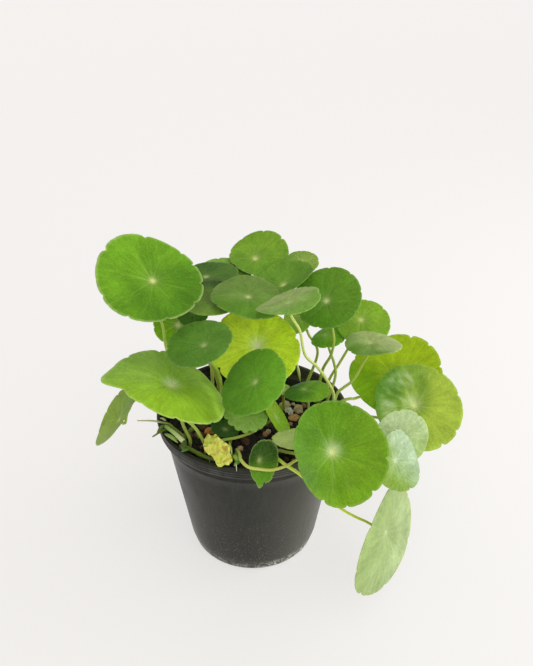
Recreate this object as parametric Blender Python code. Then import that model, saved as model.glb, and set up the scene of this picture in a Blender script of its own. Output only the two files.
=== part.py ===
"""Potted pennywort: round, scalloped leaves on long stalks, rooted in gravelly soil in a black nursery pot.

Sizes are in metres and angles in degrees. +Z is up and -Y is the front.
The origin is the centre of the pot's foot, on the surface that the pot stands on.
"""

import math
import random
from typing import NamedTuple

import bmesh
import bpy
from mathutils import Matrix, Vector

# The pot
POT_RADIUS = 0.055          # outside of the lip
POT_HEIGHT = 0.092
FOOT_RADIUS = 0.0370        # outside of the wall where it meets the foot
WALL = 0.0012
LIP_HEIGHT = 0.0085
LIP_STEP = 0.0026           # how far the lip stands out from the wall
BEAD_DROP = 0.0045          # from the lip's lower edge down to the bead
BEAD_STEP = 0.0006
BEAD_SLOPE = 0.001          # height over which the bead and the lip come out of the wall
FOOT_ROUND = 0.005          # round edge between wall and foot
BASE_RISE = 0.0022          # the base is raised between the foot ring and the boss
FOOT_RING = 0.005           # width of the ring that the pot stands on
BOSS_RADIUS = 0.009         # the flat boss in the middle of the base, which the pot stands on too
CORNER_TOP = 0.008          # height of the slope between the wall's inside and the base
RAISED_STEP = 0.001         # how far the ring's inner edge slopes
SOFT_EDGE = 0.0005          # the lip's rounded top edge
POT_SEGMENTS = 48
DRAIN_HOLES = 6
DRAIN_RADIUS = 0.0042
DRAIN_CIRCLE = 0.020
DRAIN_SIDES = 10

# The soil
SOIL_TOP = 0.0842           # mean height of the surface
SOIL_SLOPE = (-0.030, -0.040)   # rise per metre along X and Y: higher at the front left
SOIL_GAP = 0.0004           # to the pot's inside
SOIL_RINGS = (0.010, 0.021, 0.032, 0.042)
SOIL_SEGMENTS = 20
SOIL_BUMP = 0.0012
SOIL_EDGE_DROP = 0.0030     # how far the surface dips at the pot's wall
SOIL_LOW_RING = 0.012       # height of the soil's last ring above its flat bottom
GRAVEL_COUNT = 60
GRAVEL_REACH = 0.046        # the stones lie within this distance of the middle
GRAVEL_SCATTER = 0.2        # how far a stone strays round the pot, in radians
GRAVEL_SIZE = (0.0020, 0.0038)  # half the width of a stone
GRAVEL_SINK = 0.25              # share of a stone's half width that its middle lies below the surface
GRAVEL_ROUGH = 0.15             # how far its corners stray, as a share of its half width
GRAVEL_FLAT = 0.8               # its height over its width

# The leaves
BLADE = 0.0007              # thickness
LOBES = 9
NOTCH = 0.055               # depth of the cuts between lobes, as a share of the radius
DIMPLE = 0.07               # the blade dips to the stalk by this share of its radius
DIMPLE_REACH = 0.22
RUFFLE = 0.015              # waves of the rim, as a share of the radius
FOLD_SOFTNESS = 0.16        # width of a fold's round bottom, as a share of the radius
LARGE_BLADE = 0.0155        # blades of this radius or more get one more ring of points
LARGE_RINGS = (0.42, 0.75)  # their inner rings, in radii
SMALL_RING = 0.60           # the inner ring of the smaller ones
RIM_PLACES = (0.0, 0.27, 0.73)  # where a lobe's rim has points, from notch to notch
STALK_FOOT = 0.00100        # radius of a stalk where it leaves the soil
STALK_NECK = 0.00068        # and where it meets the blade
STALK_SIDES = 5
STALK_PIECE = 0.0090        # length of a stalk's straight pieces
STALK_DEPTH = 0.009         # how deep a stalk stands in the soil
SPLINE_STEPS = 12           # points taken on a stalk's curve between two knots
STALK_HOLE = 0.0021         # radius of the hole it stands in
HOLE_BELOW = 0.001          # how much deeper the hole is than the stalk
HOLE_ABOVE = 0.007          # how far its cutter reaches above the surface
HUB = 1.5                   # the stalk's flare at the blade, as a share of its neck


class Leaf(NamedTuple):
    """One leaf. Bearings are 0 at +X and -90 at the front; the blade's own are taken before it tilts."""

    name: str
    centre: tuple           # where the stalk meets the blade
    radius: float
    facing: float           # bearing that the upper face leans towards
    tilt: float             # lean of the upper face from straight up
    root: tuple             # where the stalk leaves the soil, X and Y
    via: tuple = ()         # points that the stalk passes on its way from the blade to the soil
    neck: float = 0.007     # length of stalk that stands square to the blade
    shift: tuple = (0, 0)   # how far the rim's middle lies from the stalk, in radii
    crease: float = 0.0     # bearing of the line that the blade folds along
    fold: float = 0.0       # how far each half is folded up from flat
    stretch: float = 1.0    # length along the crease over the width across it
    cup: float = 0.04       # rise of the rim, in radii
    bow: float = 0.0        # rise of the two ends of the crease, in radii
    twist: float = 0.0      # twist of the blade along the crease, in radii
    ruffle: float = 1.0     # waviness of the rim
    notches: tuple = ()     # bearings of the cuts between lobes, where they are known
    bulges: tuple = ()      # (bearing, width, reach): where the rim stands out, or in, in radii
    paint: str = "leaf_green"


LEAVES = (
    # high on the left
    Leaf("leaf_left_high", (-0.0495, -0.015, 0.181), 0.0275, -52, 30, (-0.034, -0.028),
         via=((-0.047, -0.011, 0.154), (-0.0465, -0.006, 0.137), (-0.043, -0.008, 0.120),
              (-0.0385, -0.023, 0.101)), shift=(-0.07, -0.04), twist=-0.20, cup=0.02, bow=0.12,
         notches=(9, 39, 59, 105, 162, 219, 255, 296, 336)),
    Leaf("leaf_left_under", (-0.0415, 0.012, 0.140), 0.0138, -80, 35, (-0.031, 0.006),
         via=((-0.040, 0.013, 0.118),), paint="leaf_lime"),
    Leaf("leaf_left_shade", (-0.0315, 0.008, 0.152), 0.0105, -119, 42, (-0.023, 0.010),
         via=((-0.025, 0.012, 0.138), (-0.0235, 0.010, 0.115)), paint="leaf_deep"),
    # low on the left, over the rim
    Leaf("leaf_left_low", (-0.041, -0.038, 0.133), 0.0305, 7, 24, (-0.025, -0.034),
         via=((-0.037, -0.0385, 0.115), (-0.030, -0.035, 0.104)), shift=(0, -0.04), crease=162, fold=-3,
         twist=-0.14, cup=0.01, bow=-0.16, notches=(20, 65, 110, 147, 213, 243, 280, 325),
         bulges=((192, 14, 0.15), (214, 12, -0.10), (240, 20, -0.08), (28, 22, 0.14))),
    Leaf("leaf_left_hanging", (-0.0735, -0.018, 0.0965), 0.0180, -174, 50, (-0.040, -0.006),
         via=((-0.0693, -0.0148, 0.0995), (-0.0655, -0.0120, 0.1055), (-0.0600, -0.0100, 0.1070),
              (-0.0535, -0.0085, 0.1025)), neck=0.003, crease=94, fold=4, twist=-0.08, cup=0.03, bow=0.16),
    # the crown, from the back to the front
    Leaf("leaf_top_high", (0.0013, 0.048, 0.1641), 0.0175, -94, 25, (0.001, 0.032),
         via=((0.002, 0.048, 0.130),), shift=(0.14, 0.11), twist=0.26, cup=0.10, bow=-0.07,
         notches=(36, 80, 126, 170, 215, 258, 300, 354)),
    Leaf("leaf_top_small", (0.0278, 0.0325, 0.1684), 0.0099, -104, 19, (0.016, 0.030),
         via=((0.0265, 0.036, 0.140), (0.020, 0.032, 0.110)), paint="leaf_lime"),
    Leaf("leaf_top_rim", (-0.0163, 0.036, 0.1588), 0.0156, -78, 12, (-0.009, 0.031),
         via=((-0.012, 0.037, 0.130),)),
    Leaf("leaf_back_left", (-0.026, 0.026, 0.1632), 0.0168, -140, 5, (-0.019, 0.016),
         via=((-0.0265, 0.0195, 0.1570), (-0.0275, 0.0180, 0.145), (-0.027, 0.0180, 0.134),
              (-0.023, 0.017, 0.112)), neck=0.002, shift=(0.12, -0.12), paint="leaf_deep"),
    Leaf("leaf_crown_dark", (-0.0202, -0.002, 0.1634), 0.0180, -100, 4, (-0.012, 0.008),
         via=((-0.0150, 0.010, 0.155), (-0.0115, 0.020, 0.146), (-0.011, 0.024, 0.136),
              (-0.011, 0.020, 0.115)), neck=0.003, paint="leaf_deep"),
    Leaf("leaf_crown_right", (0.0173, 0.0150, 0.1635), 0.0176, -167, 25, (0.011, 0.017),
         via=((0.0150, 0.022, 0.153), (0.0135, 0.025, 0.138), (0.012, 0.022, 0.115)), neck=0.003,
         shift=(0.09, 0.02), crease=7, fold=9, twist=-0.08, cup=0.05),
    Leaf("leaf_crown_front", (-0.0015, -0.007, 0.1677), 0.0193, -44, 11, (-0.004, 0.017),
         via=((-0.002, 0.003, 0.160), (-0.003, 0.018, 0.152), (-0.0035, 0.025, 0.140),
              (-0.004, 0.022, 0.115)), neck=0.003, shift=(-0.03, -0.05), twist=0.09, cup=0.0, bow=-0.10,
         paint="leaf_deep"),
    Leaf("leaf_crown_pale", (0.0187, -0.028, 0.1753), 0.0168, 152, 16, (0.043, -0.009),
         via=((0.0250, -0.026, 0.158), (0.0282, -0.021, 0.141), (0.035, -0.017, 0.131),
              (0.0416, -0.013, 0.1186), (0.0455, -0.010, 0.106)), crease=17, fold=-7, twist=0.10,
         bow=0.02, paint="leaf_deep"),
    # the middle, facing the viewer
    Leaf("leaf_middle_lime", (0.003, 0.000, 0.1337), 0.0250, -78, 32, (0.004, 0.011),
         via=((0.004, 0.009, 0.112),), shift=(-0.05, -0.07), twist=-0.06, cup=0.02, bow=-0.03,
         paint="leaf_lime"),
    Leaf("leaf_front_left", (-0.023, -0.036, 0.1555), 0.0172, -136, 18, (-0.019, -0.007),
         via=((-0.0195, -0.031, 0.1415), (-0.0175, -0.027, 0.1350), (-0.0165, -0.019, 0.122),
              (-0.017, -0.012, 0.108)), shift=(-0.11, -0.03), crease=24, fold=5, twist=-0.05,
         paint="leaf_deep"),
    Leaf("leaf_middle_dark", (0.0025, -0.037, 0.1342), 0.0197, -146, 39, (0.003, -0.009),
         via=((0.007, -0.026, 0.122), (0.005, -0.013, 0.108)), shift=(-0.08, 0.01), twist=0.09, cup=-0.02,
         bow=-0.03, paint="leaf_deep"),
    Leaf("leaf_middle_low", (-0.0035, -0.024, 0.1055), 0.0125, -60, 31, (-0.003, -0.015), neck=0.004,
         ruffle=3.0, paint="leaf_deep"),
    Leaf("leaf_middle_band", (0.0134, -0.0203, 0.0998), 0.0096, -23, 49, (-0.018, -0.030),
         via=((0.000, -0.029, 0.0965), (-0.0085, -0.0325, 0.0955)), neck=0.004, crease=-34, stretch=2.0,
         paint="leaf_lime"),
    Leaf("leaf_low_shade", (-0.0150, -0.0205, 0.092), 0.0080, -3, 10, (-0.012, -0.024), neck=0.002,
         paint="leaf_deep"),
    Leaf("leaf_gravel", (0.0296, 0.000, 0.105), 0.0131, 135, 10, (0.0325, -0.005),
         via=((0.0317, -0.001, 0.097),), neck=0.004, shift=(0.09, -0.13), twist=0.11, cup=-0.12,
         paint="leaf_deep"),
    Leaf("leaf_gravel_bud", (0.0182, 0.012, 0.0965), 0.0045, -90, 12, (0.018, 0.011), neck=0.003),
    # the right, behind and beside the pot
    Leaf("leaf_right_dark", (0.0405, 0.005, 0.159), 0.0187, -112, 37, (0.038, 0.020),
         via=((0.0441, 0.002, 0.1434), (0.0452, 0.0015, 0.1364), (0.0448, 0.004, 0.1287),
              (0.0440, 0.008, 0.1217), (0.0411, 0.013, 0.1118), (0.0400, 0.017, 0.1030)), neck=0.004,
         shift=(0.05, 0.05), twist=0.09, cup=0.06, bow=0.03,
         notches=(0, 39, 81, 122, 165, 207, 248, 291, 321), paint="leaf_deep"),
    Leaf("leaf_right_shade", (0.0262, 0.020, 0.1395), 0.0090, -130, 52, (0.030, 0.024),
         via=((0.0325, 0.024, 0.127), (0.038, 0.024, 0.114)), neck=0.005, paint="leaf_deep"),
    Leaf("leaf_right_small", (0.0416, 0.0168, 0.1311), 0.0102, -161, 16, (0.043, 0.010),
         via=((0.044, 0.018, 0.1216), (0.0475, 0.017, 0.111), (0.048, 0.014, 0.1036)), neck=0.004,
         shift=(0.12, -0.17), twist=0.14, cup=-0.11, bow=-0.08, paint="leaf_deep"),
    Leaf("leaf_right_back", (0.062, 0.022, 0.138), 0.0157, -90, 28, (0.040, 0.015),
         via=((0.056, 0.022, 0.120), (0.0498, 0.019, 0.109), (0.0455, 0.017, 0.102)), neck=0.006,
         shift=(0.06, -0.14), twist=0.05, cup=0.0, bow=0.02),
    Leaf("leaf_right_fold", (0.064, -0.006, 0.1392), 0.0156, 79, 6, (0.0455, -0.003),
         via=((0.0605, -0.006, 0.1252), (0.0577, -0.005, 0.1173), (0.0547, -0.004, 0.112),
              (0.0511, -0.003, 0.108), (0.0475, -0.003, 0.103)), neck=0.005, shift=(0.12, -0.05),
         crease=-13, fold=-4, twist=-0.12, cup=0.01, bow=-0.06, paint="leaf_deep"),
    Leaf("leaf_right_lime", (0.0835, 0.016, 0.103), 0.0270, -103, 30, (0.046, 0.003),
         via=((0.0614, 0.008, 0.0940), (0.0564, 0.005, 0.0952), (0.0515, 0.003, 0.0948)), twist=0.23,
         cup=0.03, bow=0.13, notches=(3, 36, 63, 105, 150, 213, 255, 300, 332), paint="leaf_lime"),
    Leaf("leaf_right_big", (0.0897, -0.014, 0.1037), 0.0255, -75, 37, (0.0446, -0.0127),
         via=((0.076, -0.013, 0.0945), (0.059, -0.013, 0.0965), (0.051, -0.013, 0.0950)),
         shift=(0.08, -0.03), twist=0.06, cup=-0.04, bow=0.09,
         notches=(21, 59, 100, 140, 182, 222, 262, 303, 330)),
    Leaf("leaf_right_pale_back", (0.0793, -0.037, 0.0995), 0.0155, -78, 69, (0.042, -0.020),
         via=((0.071, -0.0350, 0.0975), (0.062, -0.031, 0.0965), (0.052, -0.024, 0.0960)), neck=0.002,
         bow=-0.02, twist=-0.04, notches=(60, 105, 150, 200, 240, 300, 354), paint="leaf_pale"),
    Leaf("leaf_right_pale_front", (0.0748, -0.053, 0.0964), 0.0159, -44, 58, (0.013, -0.037),
         via=((0.066, -0.0480, 0.0915), (0.050, -0.0445, 0.0915), (0.0242, -0.0455, 0.0950),
              (0.0190, -0.043, 0.0940)), neck=0.004, twist=-0.30, bow=0.09, paint="leaf_pale"),
    # the front, over the rim
    Leaf("leaf_front_big", (0.0400, -0.0691, 0.1146), 0.0266, -56, 46, (-0.008, -0.037),
         via=((0.0246, -0.057, 0.1005), (0.0189, -0.060, 0.0991), (0.0113, -0.0622, 0.0978),
              (0.0047, -0.0625, 0.0985), (-0.0012, -0.0616, 0.0992), (-0.0050, -0.056, 0.0990),
              (-0.0060, -0.048, 0.0960)), neck=0.005, shift=(0.12, 0), twist=0.10, cup=-0.01, bow=0.15,
         notches=(6, 42, 81, 120, 162, 204, 258, 288, 324)),
    Leaf("leaf_front_hanging", (0.072, -0.060, 0.0535), 0.0310, -35, 85, (0.010, -0.041),
         via=((0.0609, -0.0605, 0.0613), (0.0547, -0.0615, 0.0657), (0.0464, -0.062, 0.0722),
              (0.0356, -0.062, 0.0830), (0.0252, -0.060, 0.0930), (0.0180, -0.056, 0.0958),
              (0.014, -0.050, 0.0950)), neck=0.003, shift=(-0.04, -0.15), crease=108, fold=6, twist=0.09,
         cup=-0.06, bow=-0.03, notches=(20, 72, 130, 183, 230, 275, 320), paint="leaf_pale"),
    Leaf("leaf_front_rim", (0.004, -0.059, 0.1016), 0.0104, -84, 82, (0.002, -0.042),
         via=((0.0035, -0.050, 0.0990),), neck=0.003, shift=(0.28, -0.10), crease=90, fold=-18,
         stretch=1.7, cup=0.03),
    Leaf("leaf_low_pale", (0.0256, -0.0389, 0.0985), 0.0149, 99, 15, (0.026, -0.029), neck=0.003,
         paint="leaf_pale"),
    # the back, which the leaves in front hide
    Leaf("leaf_behind_left", (-0.0345, 0.054, 0.1130), 0.0155, 118, 24, (-0.022, 0.034),
         via=((-0.0300, 0.0460, 0.1000),)),
    Leaf("leaf_behind_middle", (0.003, 0.062, 0.1010), 0.0142, 92, 38, (0.004, 0.041),
         via=((0.0035, 0.0530, 0.0975), (0.004, 0.0460, 0.0945)), neck=0.004, paint="leaf_deep"),
    Leaf("leaf_behind_right", (0.0205, 0.060, 0.1230), 0.0158, 66, 30, (0.015, 0.038),
         via=((0.0175, 0.0500, 0.1030),), paint="leaf_lime"),
    Leaf("leaf_behind_side", (-0.051, 0.033, 0.1005), 0.0140, 145, 32, (-0.034, 0.024),
         via=((-0.0440, 0.0290, 0.0965),), neck=0.004),
)

# The creeping stem inside the rim at the front left, from its cut end inwards
RUNNER_RADIUS = 0.0012
RUNNER_PATH = ((-0.0470, -0.0140, 0.0905), (-0.0410, -0.0205, 0.0900), (-0.0375, -0.0250, 0.0900),
               (-0.0370, -0.0310, 0.0895), (-0.0305, -0.0370, 0.0895), (-0.0230, -0.0425, 0.0895),
               (-0.0140, -0.0455, 0.0895))

# Each growth on it: base, tip, radius at the base, share of that radius at the tip
RUNNER_GROWTHS = (
    ((-0.0465, -0.0140, 0.0910), (-0.0640, -0.0156, 0.0945), 0.0007, 0.5),
    ((-0.0450, -0.0165, 0.0900), (-0.0535, -0.0315, 0.0955), 0.0010, 0.4),
    ((-0.0375, -0.0245, 0.0890), (-0.0310, -0.0230, 0.0960), 0.0012, 1.0),
    ((-0.0200, -0.0435, 0.0885), (-0.0095, -0.0440, 0.0925), 0.0011, 0.6),
)
RUNNER_STEPS = 12
GROWTH_STEPS = 4
GROWTH_ARCH = 0.001         # how far the middle of a growth stands above its chord

WITHERED = Leaf("leaf_withered", (-0.0172, -0.0450, 0.0962), 0.0086, -80, 28, (-0.017, -0.036),
                neck=0.003, crease=-52, fold=24, stretch=1.5, ruffle=6.0, paint="leaf_yellow")

PAINTS = {
    # name: base colour, roughness
    "pot_black": ((0.030, 0.030, 0.030), 0.45),
    "soil": ((0.050, 0.035, 0.022), 0.95),
    "leaf_green": ((0.110, 0.280, 0.020), 0.40),
    "leaf_deep": ((0.060, 0.170, 0.020), 0.38),
    "leaf_lime": ((0.260, 0.400, 0.015), 0.42),
    "leaf_pale": ((0.300, 0.440, 0.160), 0.50),
    "leaf_yellow": ((0.620, 0.540, 0.080), 0.60),
    "runner": ((0.330, 0.430, 0.090), 0.50),
}


def paint(name):
    """The named material, made once."""
    found = bpy.data.materials.get(name)
    if found:
        return found
    colour, roughness = PAINTS[name]
    material = bpy.data.materials.new(name)
    material.use_nodes = True
    shader = material.node_tree.nodes["Principled BSDF"]
    shader.inputs["Base Color"].default_value = (*colour, 1.0)
    shader.inputs["Roughness"].default_value = roughness
    shader.inputs["Metallic"].default_value = 0.0
    return material


def add_object(name, shape, paint_name, smooth=True):
    """Puts a bmesh in the scene as one object."""
    bmesh.ops.recalc_face_normals(shape, faces=shape.faces)
    mesh = bpy.data.meshes.new(name)
    shape.to_mesh(mesh)
    shape.free()
    if smooth:
        mesh.shade_smooth()
        mesh.set_sharp_from_angle(angle=math.radians(40))
    mesh.materials.append(paint(paint_name))
    made = bpy.data.objects.new(name, mesh)
    bpy.context.scene.collection.objects.link(made)
    return made


def combine(target, others, operation):
    """Joins the others to the target, or cuts them out of it, in one Boolean, and removes them."""
    group = bpy.data.collections.new(target.name + "_others")
    bpy.context.scene.collection.children.link(group)
    for other in others:
        bpy.context.scene.collection.objects.unlink(other)
        group.objects.link(other)
    boolean = target.modifiers.new("combine", "BOOLEAN")
    boolean.operation = operation
    boolean.operand_type = "COLLECTION"
    boolean.collection = group
    boolean.solver = "EXACT"
    graph = bpy.context.evaluated_depsgraph_get()
    graph.update()
    joined = bpy.data.meshes.new_from_object(target.evaluated_get(graph))
    target.modifiers.clear()
    target.data = joined
    for other in others:
        bpy.data.objects.remove(other)
    bpy.data.collections.remove(group)


def direction(facing, tilt):
    """The unit vector that leans by tilt from straight up, towards a bearing."""
    lean, bearing = math.radians(tilt), math.radians(facing)
    return Vector((math.sin(lean) * math.cos(bearing), math.sin(lean) * math.sin(bearing), math.cos(lean)))


def soil_height(x, y):
    """Height of the soil's surface, without its small bumps."""
    return SOIL_TOP + SOIL_SLOPE[0] * x + SOIL_SLOPE[1] * y


def wall_radius(z):
    """Outside radius of the pot's plain wall at a height."""
    top = POT_RADIUS - LIP_STEP
    return FOOT_RADIUS + (top - FOOT_RADIUS) * z / POT_HEIGHT


def lobes_of(leaf):
    """The lobes round a blade: each first bearing, width and the depths of the cuts at its ends."""
    draw = random.Random(leaf.name)
    starts = [math.radians(bearing) for bearing in leaf.notches]
    if not starts:
        widths = [1 + 0.30 * draw.uniform(-1, 1) for _ in range(LOBES)]
        starts = [draw.uniform(0, math.tau)]
        for width in widths[1:]:
            starts.append(starts[-1] + width * math.tau / sum(widths))
    depths = [NOTCH * draw.uniform(0.5, 1.5) for _ in starts]
    lobes = []
    for index, start in enumerate(starts):
        after = (index + 1) % len(starts)
        lobes.append((start, (starts[after] - start) % math.tau, depths[index], depths[after]))
    return lobes


def rim_share(lobe, along):
    """Reach of the rim at a place along a lobe, from 0 to 1, where 1 is the full radius."""
    depth = lobe[2] + (lobe[3] - lobe[2]) * along
    return 1 - depth * abs(2 * along - 1) ** 4


def shape_blade(leaf, reach, bearing):
    """Place of a point of the blade, in radii, before it is tilted: folded, cupped, dimpled and waved."""
    draw = random.Random(leaf.name + " waves")
    phases = [draw.uniform(0, math.tau) for _ in range(3)]
    for middle, width, amount in leaf.bulges:
        offset = math.remainder(bearing - math.radians(middle), math.tau) / math.radians(width)
        reach += amount * reach**3 * math.exp(-(offset**2))
    crease = math.radians(leaf.crease)
    along = reach * math.cos(bearing - crease) * math.sqrt(leaf.stretch)
    across = reach * math.sin(bearing - crease) / math.sqrt(leaf.stretch)
    turn = math.radians(leaf.fold) * across / math.hypot(across, FOLD_SOFTNESS)
    height = across * math.sin(turn) + leaf.twist * along * across
    height += leaf.cup * reach**2 + leaf.bow * along**2
    height += DIMPLE * (1 - math.exp(-((reach / DIMPLE_REACH) ** 2)))
    across = across * math.cos(turn)
    waves = math.sin(2 * bearing + phases[0]) + 0.7 * math.sin(3 * bearing + phases[1])
    waves += 0.35 * math.sin(5 * bearing + phases[2])
    height += RUFFLE * leaf.ruffle * waves * reach**3
    cos_crease, sin_crease = math.cos(crease), math.sin(crease)
    return Vector((along * cos_crease - across * sin_crease + leaf.shift[0] * reach,
                   along * sin_crease + across * cos_crease + leaf.shift[1] * reach, height))


def blade_frame(leaf):
    """The turn and place that take a blade from its own frame to the world."""
    turn = Vector((0, 0, 1)).rotation_difference(direction(leaf.facing, leaf.tilt))
    return Matrix.Translation(leaf.centre) @ turn.to_matrix().to_4x4()


def blade_rings(leaf):
    """Rings of (bearing, reach) from the inside to the rim; each has its own number of points for a lobe."""
    lobes = lobes_of(leaf)
    rim = [(lobe[0] + lobe[1] * p, rim_share(lobe, p)) for lobe in lobes for p in RIM_PLACES]
    if leaf.radius < LARGE_BLADE:
        return [[(lobe[0], SMALL_RING) for lobe in lobes], rim]
    inner, outer = LARGE_RINGS
    return [[(lobe[0], inner) for lobe in lobes], [(lobe[0] + lobe[1] / 2, outer) for lobe in lobes], rim]


def bridge(shape, inner, outer):
    """Fills the band between two rings of (bearing, vertex) with triangles, going round once."""
    count_in, count_out = len(inner), len(outer)
    first = min(range(count_out), key=lambda k: abs(math.remainder(outer[k][0] - inner[0][0], math.tau)))
    step_in, step_out = 0, 0

    def turned(ring, step, start, origin):
        """How far round a ring's step is, from the inner ring's first point."""
        laps, place = divmod(start + step, len(ring))
        lead = math.remainder(ring[start][0] - origin, math.tau)
        return lead + (ring[place][0] - ring[start][0]) + laps * math.tau

    origin = inner[0][0]
    while step_in < count_in or step_out < count_out:
        next_in = turned(inner, step_in + 1, 0, origin)
        next_out = turned(outer, step_out + 1, first, origin)
        here_in = inner[step_in % count_in][1]
        here_out = outer[(first + step_out) % count_out][1]
        if step_out < count_out and (step_in == count_in or next_out <= next_in):
            there = outer[(first + step_out + 1) % count_out][1]
            step_out += 1
        else:
            there = inner[(step_in + 1) % count_in][1]
            step_in += 1
        shape.faces.new((here_in, here_out, there))


def stalk_line(leaf):
    """Points along a stalk's middle, evenly spaced from just under the blade to its end in the soil."""
    up = direction(leaf.facing, leaf.tilt)
    top = Vector(leaf.centre) - up * BLADE
    ground = soil_height(*leaf.root)
    foot = Vector((*leaf.root, ground))
    rise = Vector((0, 0, STALK_HOLE * 2.4))
    knots = [top + up * leaf.neck, top, top - up * leaf.neck, *map(Vector, leaf.via), foot + rise, foot]
    knots += [foot - rise, foot - 2 * rise]
    curve = []
    for before, start, end, after in zip(knots, knots[1:], knots[2:], knots[3:]):
        for step in range(SPLINE_STEPS):
            curve.append(spline(before, start, end, after, step / SPLINE_STEPS))
    buried = [p for p in curve[-SPLINE_STEPS:] if p.z > ground - STALK_DEPTH]
    curve = [*curve[:-SPLINE_STEPS], *buried, foot - Vector((0, 0, STALK_DEPTH))]
    length = sum((two - one).length for one, two in zip(curve, curve[1:]))
    return even_points(curve, max(4, round(length / STALK_PIECE)))


def spline(before, start, end, after, share):
    """A point between start and end of a smooth curve through four points."""
    first = (end - before) * 0.5
    last = (after - start) * 0.5
    square, cube = share**2, share**3
    return (start * (2 * cube - 3 * square + 1) + first * (cube - 2 * square + share)
            + end * (3 * square - 2 * cube) + last * (cube - square))


def even_points(curve, steps):
    """The curve's points taken again, evenly spaced."""
    lengths = [0.0]
    for one, two in zip(curve, curve[1:]):
        lengths.append(lengths[-1] + (two - one).length)
    points, index = [], 0
    for step in range(steps + 1):
        goal = lengths[-1] * step / steps
        while index < len(curve) - 2 and lengths[index + 1] < goal:
            index += 1
        span = max(lengths[index + 1] - lengths[index], 1e-9)
        points.append(curve[index].lerp(curve[index + 1], min(1.0, (goal - lengths[index]) / span)))
    return points


def sweep(shape, line, radii, axis_x, sides, first_ring=None):
    """A round tube along a line. Its first ring may be one that is already there."""
    ring, heading = first_ring, (line[1] - line[0]).normalized()
    if ring is None:
        axis_x = (axis_x - heading * axis_x.dot(heading)).normalized()
    for index in range(len(line)):
        if index == 0 and first_ring is not None:
            continue
        ahead = line[min(index + 1, len(line) - 1)] - line[max(index - 1, 0)]
        ahead.normalize()
        axis_x = heading.rotation_difference(ahead) @ axis_x
        heading = ahead
        axis_y = heading.cross(axis_x)
        new = []
        for side in range(sides):
            angle = math.tau * side / sides
            offset = axis_x * math.cos(angle) + axis_y * math.sin(angle)
            new.append(shape.verts.new(line[index] + offset * radii[index]))
        if ring is None:
            shape.faces.new(new)
        else:
            for side in range(sides):
                after = (side + 1) % sides
                shape.faces.new((ring[side], ring[after], new[after], new[side]))
        ring = new
    shape.faces.new(list(reversed(ring)))


def build_leaf(leaf):
    """A blade and its stalk as one closed solid: the stalk grows out of a ring under the blade's middle."""
    shape = bmesh.new()
    place = blade_frame(leaf)
    up = direction(leaf.facing, leaf.tilt)
    hub = [(-math.tau * side / STALK_SIDES, STALK_NECK * HUB / leaf.radius) for side in range(STALK_SIDES)]
    hub.sort()
    upper, lower = [], []
    for ring in [hub, *blade_rings(leaf)]:
        points = [place @ (shape_blade(leaf, reach, bearing) * leaf.radius) for bearing, reach in ring]
        upper.append([(ring[k][0], shape.verts.new(points[k])) for k in range(len(ring))])
        lower.append([(ring[k][0], shape.verts.new(points[k] - up * BLADE)) for k in range(len(ring))])
    for side in (upper, lower):
        for inner, outer in zip(side, side[1:]):
            bridge(shape, inner, outer)
    middle = shape.verts.new(place @ (shape_blade(leaf, 0.0, 0.0) * leaf.radius))
    for k in range(STALK_SIDES):
        shape.faces.new((middle, upper[0][k][1], upper[0][(k + 1) % STALK_SIDES][1]))
    rim_count = len(upper[-1])
    for k in range(rim_count):
        after = (k + 1) % rim_count
        shape.faces.new((upper[-1][k][1], lower[-1][k][1], lower[-1][after][1], upper[-1][after][1]))
    line = stalk_line(leaf)
    steps = len(line) - 1
    radii = [STALK_NECK + (STALK_FOOT - STALK_NECK) * k / steps for k in range(steps + 1)]
    hub_x = place.to_3x3() @ Vector((math.cos(hub[0][0]), math.sin(hub[0][0]), 0))
    under = [vertex for _, vertex in lower[0]]
    ring = [under[0], *reversed(under[1:])]
    sweep(shape, line, radii, hub_x, STALK_SIDES, first_ring=ring)
    bmesh.ops.triangulate(shape, faces=[f for f in shape.faces if len(f.verts) > 3])
    return add_object(leaf.name, shape, leaf.paint)


def build_tube(name, points, radius, steps, sides=6, taper=1.0):
    """A closed tube through a few points, as its own object."""
    knots = [points[0] * 2 - points[1], *points, points[-1] * 2 - points[-2]]
    curve = []
    for before, start, end, after in zip(knots, knots[1:], knots[2:], knots[3:]):
        curve += [spline(before, start, end, after, step / 8) for step in range(8)]
    curve.append(points[-1])
    line = even_points(curve, steps)
    radii = [radius * (1 + (taper - 1) * k / steps) for k in range(steps + 1)]
    shape = bmesh.new()
    sweep(shape, line, radii, Vector((0, 0, 1)), sides)
    return add_object(name, shape, "runner")


def build_runner():
    """The creeping stem inside the rim at the front left, with cut stubs and a bare root over the rim."""
    runner = build_tube("runner", [Vector(p) for p in RUNNER_PATH], RUNNER_RADIUS, RUNNER_STEPS)
    stubs = []
    for base, tip, radius, taper in RUNNER_GROWTHS:
        middle = (Vector(base) + Vector(tip)) / 2 + Vector((0, 0, GROWTH_ARCH))
        stubs.append(build_tube("stub", [Vector(base), middle, Vector(tip)], radius, GROWTH_STEPS, 5, taper))
    combine(runner, stubs, "UNION")
    return runner


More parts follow.
